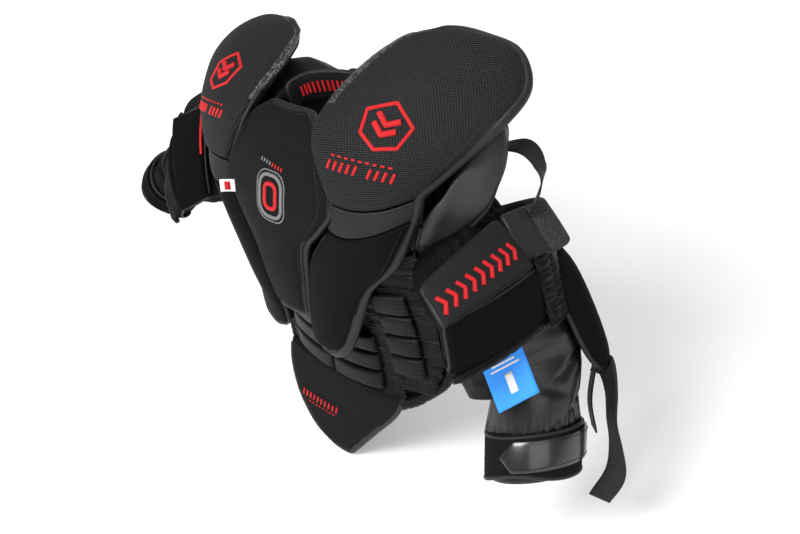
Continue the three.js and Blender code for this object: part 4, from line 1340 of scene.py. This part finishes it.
strapLook = {
    "level": -345, "width": 29, "length": 0.19, "rise": 3.2, "thick": 2.4, "start": -80, "end": 110,
    "point": 15,
    "across": (1, 0.72, 0.36, 0, -0.36, -0.72, -1), "bulge": (0, 0.5, 0.7, 0.75, 0.7, 0.5, 0),
    "stitch": 3.2, "stitchRise": 0.75,
}
for side, sign in sideSigns.items():
    onArm = armSkin(side)
    tops = [sleeveTop(side, 360 * j / sleeve["columns"]) for j in range(sleeve["columns"])]
    rows = tubeRows(
        onArm, tops, [cuffEnd + 1] * sleeve["columns"], sleeve["rows"], sleeve["columns"],
        lambda z, turn: sleeveRise(z, turn, sign * 3.0),
    )
    tuckUnder(rows, [pads[f"{stem}_{side}"] for stem in sleeve["under"]])
    tube = gridPiece(f"sleeve_{side}", rows, sleeve["wall"] * mm, around=True, flip=sign > 0)
    handOver(tube, "nylon", sleeve["finish"][side], [f"arm_sleeve_{side}"], 0.1)
    # above change the sleeve is plateCloth: partly painted shade under the floater and pads, partly a matt
    # cloth
    tube.data.materials.append(finishes["plateCloth"])
    upright = armMatrix(side).inverted()
    for polygon in tube.data.polygons:
        polygon.material_index = int((upright @ polygon.center).z > sleeve["change"] * mm)

    rows = underlapRows(onArm, sign)
    piece = gridPiece(f"elbow_underlap_{side}", rows, underlap["wall"] * mm, flip=sign > 0, rim=1.2 * mm)
    handOver(piece, "nylon", "nylon", fill=0.2)

    tops = [sleeveEnd + 3] * cuff["columns"]
    ends = [cuffLevel(360 * j / cuff["columns"]) for j in range(cuff["columns"])]
    rows = tubeRows(onArm, tops, ends, cuff["rows"], cuff["columns"], cuffRise)
    band = gridPiece(f"cuff_{side}", rows, cuff["wall"] * mm, around=True, flip=sign > 0, rim=1.2 * mm)
    handOver(band, "loop_pile", "cuffPile", [f"wrist_cuff_{side}"], 0.3)
    for place in ("top", "end"):
        levels = [sleeveEnd + 2 if place == "top" else cuffLevel(4 * k) + 1 for k in range(90)]
        ring = [onArm(level, 4 * k, cuff["rise"] - cuff["rimSink"]) for k, level in enumerate(levels)]
        rim = rolls(f"cuff_rim_{place}_{side}", [ring], cuff["rim"] * mm, 2, closed=True)
        handOver(rim, "loop_pile", "binding")

    rows = []
    edges = ([], [])
    level, thick = strapLook["level"], strapLook["thick"]
    rise = strapLook["rise"] + thick
    for k in range(91):
        turn = strapLook["start"] + (strapLook["end"] - strapLook["start"]) * k / 90
        tip = min(1.0, 0.06 + (turn - strapLook["start"]) / strapLook["point"])
        half = strapLook["width"] / 2 * tip
        across = zip(strapLook["across"], strapLook["bulge"])
        rows.append([onArm(level + half * v, turn, rise + b) for v, b in across])
        inset = max(half - strapLook["stitch"], 0)
        for edge, way in zip(edges, (1, -1)):
            edge.append(onArm(level + way * inset, turn, rise + strapLook["stitchRise"]))
    strap = gridPiece(f"wrist_strap_{side}_leather", rows, thick * mm, flip=sign < 0, rim=0.5 * mm)
    # the far strap is suede, darker and dull, as painted shade where the far arm turns away from the light
    handOver(strap, "leather", "leather" if side == "left" else "suede", [f"wrist_strap_{side}"])
    dashes = [run for edge in edges for run in stitchRuns(edge, 0.0032, 0.0018)]
    sewnThread(f"wrist_strap_stitching_{side}", dashes, 0.4, "leather")
print("sleeves and cuffs done")


# Straps, label and tag

webThick = 1.6
straps = {  # a route is places in mm, each with the way the webbing lies across there
    "elbow_strap_left": {"width": 25, "route": [
        ((312, 87, -277), (0.4, 0.5, 0.4)), ((328, 80, -272), (0.6, 0.1, 0.45)),
        ((342, 70, -292), (0.75, -0.25, 0.45)), ((350, 61, -322), (0.75, -0.4, 0.3)),
        ((360, 56, -352), (0.9, -0.3, 0.2)), ((364, 50, -384), (0.95, 0.1, 0.2)),
        ((348, 44, -426), (0.85, 0.45, 0.1)),
    ]},
    "keeper_strap_left": {"width": 20, "route": [
        ((312, 82, -268), (0.66, -0.55, 0.5)), ((317, 66, -312), (0.66, -0.55, 0.5)),
        ((325, 64, -350), (0.66, -0.55, 0.5)),
    ]},
    "shoulder_loop_left": {"width": 22, "route": [
        ((202, 66, -38), (0, 1, 0)), ((226, 75, -37), (-0.2, 0.8, 0.3)), ((243, 75, -50), (-0.4, 0.8, 0.3)),
        ((250, 71, -70), (-0.5, 0.8, 0.2)), ((238, 62, -114), (-0.5, 0.8, 0.1)),
    ]},
}
for node, look in straps.items():
    line = [spot(*place) for place, _ in look["route"]]
    lies = [Vector(lie).normalized() for _, lie in look["route"]]
    rows = []
    for k in range(81):
        share = k / 80
        middle = through(line, share)
        along = (through(line, min(share + 0.01, 1)) - through(line, max(share - 0.01, 0))).normalized()
        lie = through(lies, share)
        over = (lie - along * along.dot(lie)).normalized() * (look["width"] / 2 * mm)
        up = along.cross(over).normalized() * (webThick / 2 * mm)
        rows.append([middle + over * v + up for v in (-1, -0.6, -0.2, 0.2, 0.6, 1)])
    length = sum((b[2] - a[2]).length for a, b in zip(rows, rows[1:]))
    strap = gridPiece(f"{node}_webbing", rows, webThick * mm, flip=True)
    handOver(strap, "webbing", "webbing", [node])

label = {
    "centre": (290, -33, -240), "across": (0.448, 0.832, 0.325), "down": (0.533, -0.113, -0.838),
    "width": 47, "height": 53, "thick": 1.2, "curl": 10, "wave": 1.2,
}


def labelSpot(u, v, rise=0.0):
    across, down = Vector(label["across"]), Vector(label["down"])
    out = down.cross(across).normalized()
    curl = label["curl"] * max(0, v - 0.1) ** 2 + label["wave"] * math.sin(2.6 * u + 0.4)
    flat = Vector(label["centre"]) + down * (v * label["height"]) + across * (u * label["width"])
    return (flat + out * (curl + rise)) * mm


def labelPatch(name, us, vs, rise, thick, finish, steps):
    overs = [us[0] + (us[1] - us[0]) * j / steps for j in range(steps + 1)]
    downs = [vs[0] + (vs[1] - vs[0]) * i / steps for i in range(steps + 1)]
    rows = [[labelSpot(u, v, rise) for u in overs] for v in downs]
    return handOver(gridPiece(name, rows, thick * mm, flip=True), "blue_label", finish)


patch = labelPatch("size_label_cloth", (-0.5, 0.5), (-0.5, 0.5), 0.6, label["thick"], "blueCloth", 12)
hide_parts("size_label")
labelMarks = {
    "bar": ((-0.09, 0.09), (-0.12, 0.28)),
    "line_1": ((-0.3, 0.26), (-0.36, -0.325)),
    "line_2": ((-0.36, 0.34), (-0.27, -0.235)),
}
for name, (us, vs) in labelMarks.items():
    labelPatch(f"size_label_{name}", us, vs, 0.85, 0.4, "whiteCloth", 6)


def tagSpot(u, v):
    return spot(-64 - 9 * u - 2 * v, -102 - 15 * u + 1.2 * math.sin(3 * u), -85 + 3 * u - 16 * v)


tagRows = [[tagSpot(u, v) for u in np.linspace(0, 1, 9)] for v in np.linspace(0, 1, 7)]
tag = gridPiece("side_tag_cloth", tagRows, 1.0 * mm, flip=True)
handOver(tag, "white_tag", "whiteCloth", ["side_tag"])
stripeRows = [[p + spot(1.0, -0.55, 0) for p in row[3:7]] for row in tagRows[1:6]]
stripe = gridPiece("side_tag_stripe", stripeRows, 0.4 * mm, flip=True)
handOver(stripe, "white_tag", "redThread")
print("straps and labels done")


# Raised embroidery in plain shapes, and sewing lines

def sewingPlane(skin, centre, across, outward=(0, -1, 0)):
    start = spot(*centre) + Vector(outward).normalized() * 0.03
    place, normal, _, _ = skin.find_nearest(start)
    right = (Vector(across) - normal * normal.dot(Vector(across))).normalized()
    up = normal.cross(right)

    def onPad(u, v, rise=0.0):
        return droppedOn(skin, place + (right * u + up * v) * mm, normal, rise * mm)

    return onPad


def sewnRun(onPad, corners, rise, closed=False, step=1.5):
    line = []
    loop = [*corners, corners[0]] if closed else corners
    for (u0, v0), (u1, v1) in zip(loop, loop[1:]):
        count = max(1, round(math.hypot(u1 - u0, v1 - v0) / step))
        line += [(u0 + (u1 - u0) * k / count, v0 + (v1 - v0) * k / count) for k in range(count)]
    if not closed:
        line.append(corners[-1])
    return [onPad(u, v, rise) for u, v in line]


def satin(name, runs, radius, finish="redThread", slot="mesh_knit", closed=False):
    return handOver(rolls(name, runs, radius * mm, 2, closed), slot, finish)


def satinShapes(name, onPad, shapes, rise, radius, finish="redThread"):
    return satin(name, [sewnRun(onPad, shape, rise) for shape in shapes], radius, finish)


def rounded(half, high, corner, steps=6):
    line = []
    for cx, cy, start in ((1, 1, 0), (-1, 1, 90), (-1, -1, 180), (1, -1, 270)):
        for k in range(steps + 1):
            angle = math.radians(start + 90 * k / steps)
            u = cx * (half - corner) + corner * math.cos(angle)
            v = cy * (high - corner) + corner * math.sin(angle)
            line.append((u, v))
    return line


capMarks = {
    "left": {"centre": (158, -38, 3), "caption": (146, -72, -45)},
    "right": {"centre": (142, -28, 19), "caption": (137, -62, -31)},
    "half": 27, "high": 26, "stroke": 2.2, "chevronStroke": 3.4, "dashStroke": 1.2, "barStroke": 1.7,
}
half, high = capMarks["half"], capMarks["high"]
outline = [
    (0, high), (half, 0.35 * high), (0.8 * half, -0.6 * high), (0, -high), (-0.8 * half, -0.6 * high),
    (-half, 0.35 * high),
]
chevrons = [[(-13, 10 - 11 * k), (0, 1 - 11 * k), (13, 10 - 11 * k)] for k in range(2)]
dashes = [[(-33 + 8 * k, 9), (-29 + 8 * k, 9)] for k in range(9)]
bars = [[(-37 + 8 * k, -6), (-34 + 8 * k, 4)] for k in range(10) if k != 5]
for side, sign in sideSigns.items():
    skin = skinOf(pads[f"shoulder_cap_{side}"])
    planes = {}
    for part in ("centre", "caption"):
        x, y, z = capMarks[side][part]
        level = settleLevel + (z - settleLevel) * shoulderLift[side]
        planes[part] = sewingPlane(skin, (sign * x, y, level), (1, 0, 0), (0, -0.7, 0.7))
    run = sewnRun(planes["centre"], outline, -0.6, True)
    satin(f"cap_mark_outline_{side}", [run], capMarks["stroke"], closed=True)
    satinShapes(f"cap_mark_chevrons_{side}", planes["centre"], chevrons, -0.4, capMarks["chevronStroke"])
    satinShapes(f"cap_caption_dashes_{side}", planes["caption"], dashes, -0.3, capMarks["dashStroke"])
    satinShapes(f"cap_caption_bars_{side}", planes["caption"], bars, -0.3, capMarks["barStroke"])

onPad = sewingPlane(skinOf(pads["sternum_pad"]), (13, -106, -77), (1, 0, 0))
ringMarks = {  # half width, half height, corner and stroke
    "outer": (19, 24, 14, 2.4, "greyThread"),
    "inner": (9.5, 14, 7, 2.8, "redThread"),
    "rim": (24, 29, 17, 0.9, "greyThread"),
}
for name, (half, high, corner, stroke, finish) in ringMarks.items():
    run = sewnRun(onPad, rounded(half, high, corner), -0.3 * stroke, True)
    satin(f"sternum_ring_{name}", [run], stroke, finish, closed=True)

for name, start in (("grey", 0), ("red", 4)):
    ticks = [[(-19 + 5 * k, 37 - 0.8 * k), (-18 + 5 * k, 41 - 0.8 * k)] for k in range(start, start + 4)]
    satinShapes(f"sternum_ticks_{name}", onPad, ticks, -0.2, 1.1, f"{name}Thread")

onPad = sewingPlane(skinOf(pads["belly_flap"]), (-37, -58, -424), (1, 0, 0))
flapBars = [[(-36 + 7.6 * k, -3), (-33 + 7.6 * k, 7)] for k in range(10)]
flapDashes = [[(-24 + 7 * k, -9), (-20 + 7 * k, -9)] for k in range(8)]
satinShapes("flap_bars", onPad, flapBars, -0.3, 1.7)
satinShapes("flap_dashes", onPad, flapDashes, -0.2, 1.0)

rows = guardRows("left", guards["upper_arm_panel"])
panelSkin = skinOf(pads["upper_arm_panel_left"])
onPad = sewingPlane(panelSkin, panelSpot(rows, 0.5, 0.47) / mm, rows[1][2] - rows[1][0], (1, 0, 0.8))
marks = [[(-46 + 13 * k, -9), (-38 + 13 * k, 0), (-42 + 13 * k, 10)] for k in range(-1, 8)]
satinShapes("panel_marks_left", onPad, marks, -0.5, 2.5)

rows = guardRows("right", guards["upper_arm_panel"])
panelSkin = skinOf(pads["upper_arm_panel_right"])
edging = [nearSkin(panelSkin, panelSpot(rows, 0.03, 0.45 + 0.5 * k / 30), 0.0006) for k in range(31)]
satin("panel_edge_right", [edging], 1.8)

collarSkin = skinOf(pads["neck_collar"])
collarMarks = []
for k in range(14):
    s = 0.1 + 0.03 * k
    bar = [panelSpot(collarRows, s + 0.012 * f, 0.28 + 0.34 * f) for f in (0, 0.5, 1)]
    collarMarks.append([nearSkin(collarSkin, p, -0.0002) for p in bar])
satin("collar_bars", collarMarks, 1.5)
print("embroidery done")

for side in sideSigns:
    rows = sideRows(floaterRows, side, shoulderLift[side])
    skin = skinOf(pads[f"shoulder_floater_{side}"])
    zigzag = []
    for k in range(161):
        zigzag.append(nearSkin(skin, panelSpot(rows, 0.04 + 0.92 * k / 160, 0.8 + 0.06 * (k % 2)), 0.0002))
    satin(f"floater_zigzag_{side}", [zigzag], 0.45, "darkThread", "nylon")
print("sewing lines done")


# Floor, light and camera

floorLook = {"size": 40.0, "gap": 0.004, "glow": (0.14, 0.75), "reach": (0.7, 2.2)}
bpy.ops.object.select_all(action="DESELECT")
bpy.ops.mesh.primitive_plane_add(size=floorLook["size"], location=(0, 0, cadBox[0].z - floorLook["gap"]))
floor = bpy.context.view_layer.objects.active
floor.name = "studio_floor"
floorPaintAndGlow = bpy.data.materials.new("floorPaintAndGlow")
floorPaintAndGlow.use_nodes = True
paint = floorPaintAndGlow.node_tree.nodes["Principled BSDF"]
paint.inputs["Base Color"].default_value = grey(0.93)
paint.inputs["Roughness"].default_value = 0.9
# Painted light: the floor glows, faintly near the pads so their shadow shows and more strongly far off,
# where the lamps fall off, so the floor looks white
paint.inputs["Emission Color"].default_value = grey(1.0)
tree = floorPaintAndGlow.node_tree
floorSpot = addNode(tree, "ShaderNodeTexCoord")
away = addNode(tree, "ShaderNodeVectorMath", {"operation": "LENGTH"}, Vector=floorSpot.outputs["Object"])
near, far = floorLook["reach"]
low, high = floorLook["glow"]  # white far off, and a shadow can show beside the pads
glow = addNode(
    tree, "ShaderNodeMapRange", Value=away.outputs["Value"], From_Min=near, From_Max=far,
    To_Min=low, To_Max=high,
)
tree.links.new(glow.outputs[0], paint.inputs["Emission Strength"])
floor.data.materials.append(floorPaintAndGlow)

skyLook = {"low": 0.06, "high": 0.16, "horizon": 1.0, "above": 0.27}  # heights are shares of straight up
world = bpy.data.worlds.new("studio")
world.use_nodes = True
sky = world.node_tree.nodes["Background"]
sky.inputs["Color"].default_value = (1, 1, 1, 1)
tree = world.node_tree
way = addNode(tree, "ShaderNodeTexCoord")
height = addNode(tree, "ShaderNodeSeparateXYZ", Vector=way.outputs["Object"])
paling = addNode(
    tree, "ShaderNodeMapRange", Value=height.outputs["Z"], From_Min=skyLook["low"],
    From_Max=skyLook["high"],
    To_Min=skyLook["horizon"], To_Max=skyLook["above"],
)
tree.links.new(paling.outputs[0], sky.inputs["Strength"])
scene.world = world
scene.view_settings.view_transform = "Standard"  # plain studio white and true blacks

lights = {
    "key": {"place": (0.25, -1.7, 1.5), "size": 1.0, "power": 64},
    "fill": {"place": (1.9, -0.9, 0.9), "size": 1.6, "power": 16},
    "top": {"place": (0.2, 0.5, 1.9), "size": 1.8, "power": 13},
    "rear": {"place": (-0.3, 1.9, 0.9), "size": 1.6, "power": 6},
}
aim = Vector((0.05, -0.02, -0.2))
for name, look in lights.items():
    lamp = bpy.data.lights.new(name, "AREA")
    lamp.energy = look["power"]
    lamp.size = look["size"]
    holder = addObject(f"light_{name}", lamp)
    holder.location = look["place"]
    holder.rotation_mode = "QUATERNION"
    holder.rotation_quaternion = (aim - Vector(look["place"])).to_track_quat("-Z", "Y")

cameraLook = {"place": (806, -592, 340), "azimuth": 50.25, "elevation": 29.94, "roll": 6.24, "lens": 41.28}


def photoCamera():
    turn, rise, roll = (math.radians(cameraLook[k]) for k in ("azimuth", "elevation", "roll"))
    back = Vector((math.sin(turn) * math.cos(rise), -math.cos(turn) * math.cos(rise), math.sin(rise)))
    level = Vector((math.cos(turn), math.sin(turn), 0))
    down = (-back).cross(level)
    right = math.cos(roll) * level + math.sin(roll) * down
    up = math.sin(roll) * level - math.cos(roll) * down
    data = bpy.data.cameras.new("photo")
    data.lens = cameraLook["lens"]
    data.sensor_width = 36
    data.clip_start = 0.02
    holder = addObject("photo_camera", data)
    matrix = Matrix((right, up, back)).transposed().to_4x4()
    matrix.translation = spot(*cameraLook["place"])
    holder.matrix_world = matrix
    return holder


scene.camera = photoCamera()
print("stage, light and camera done")
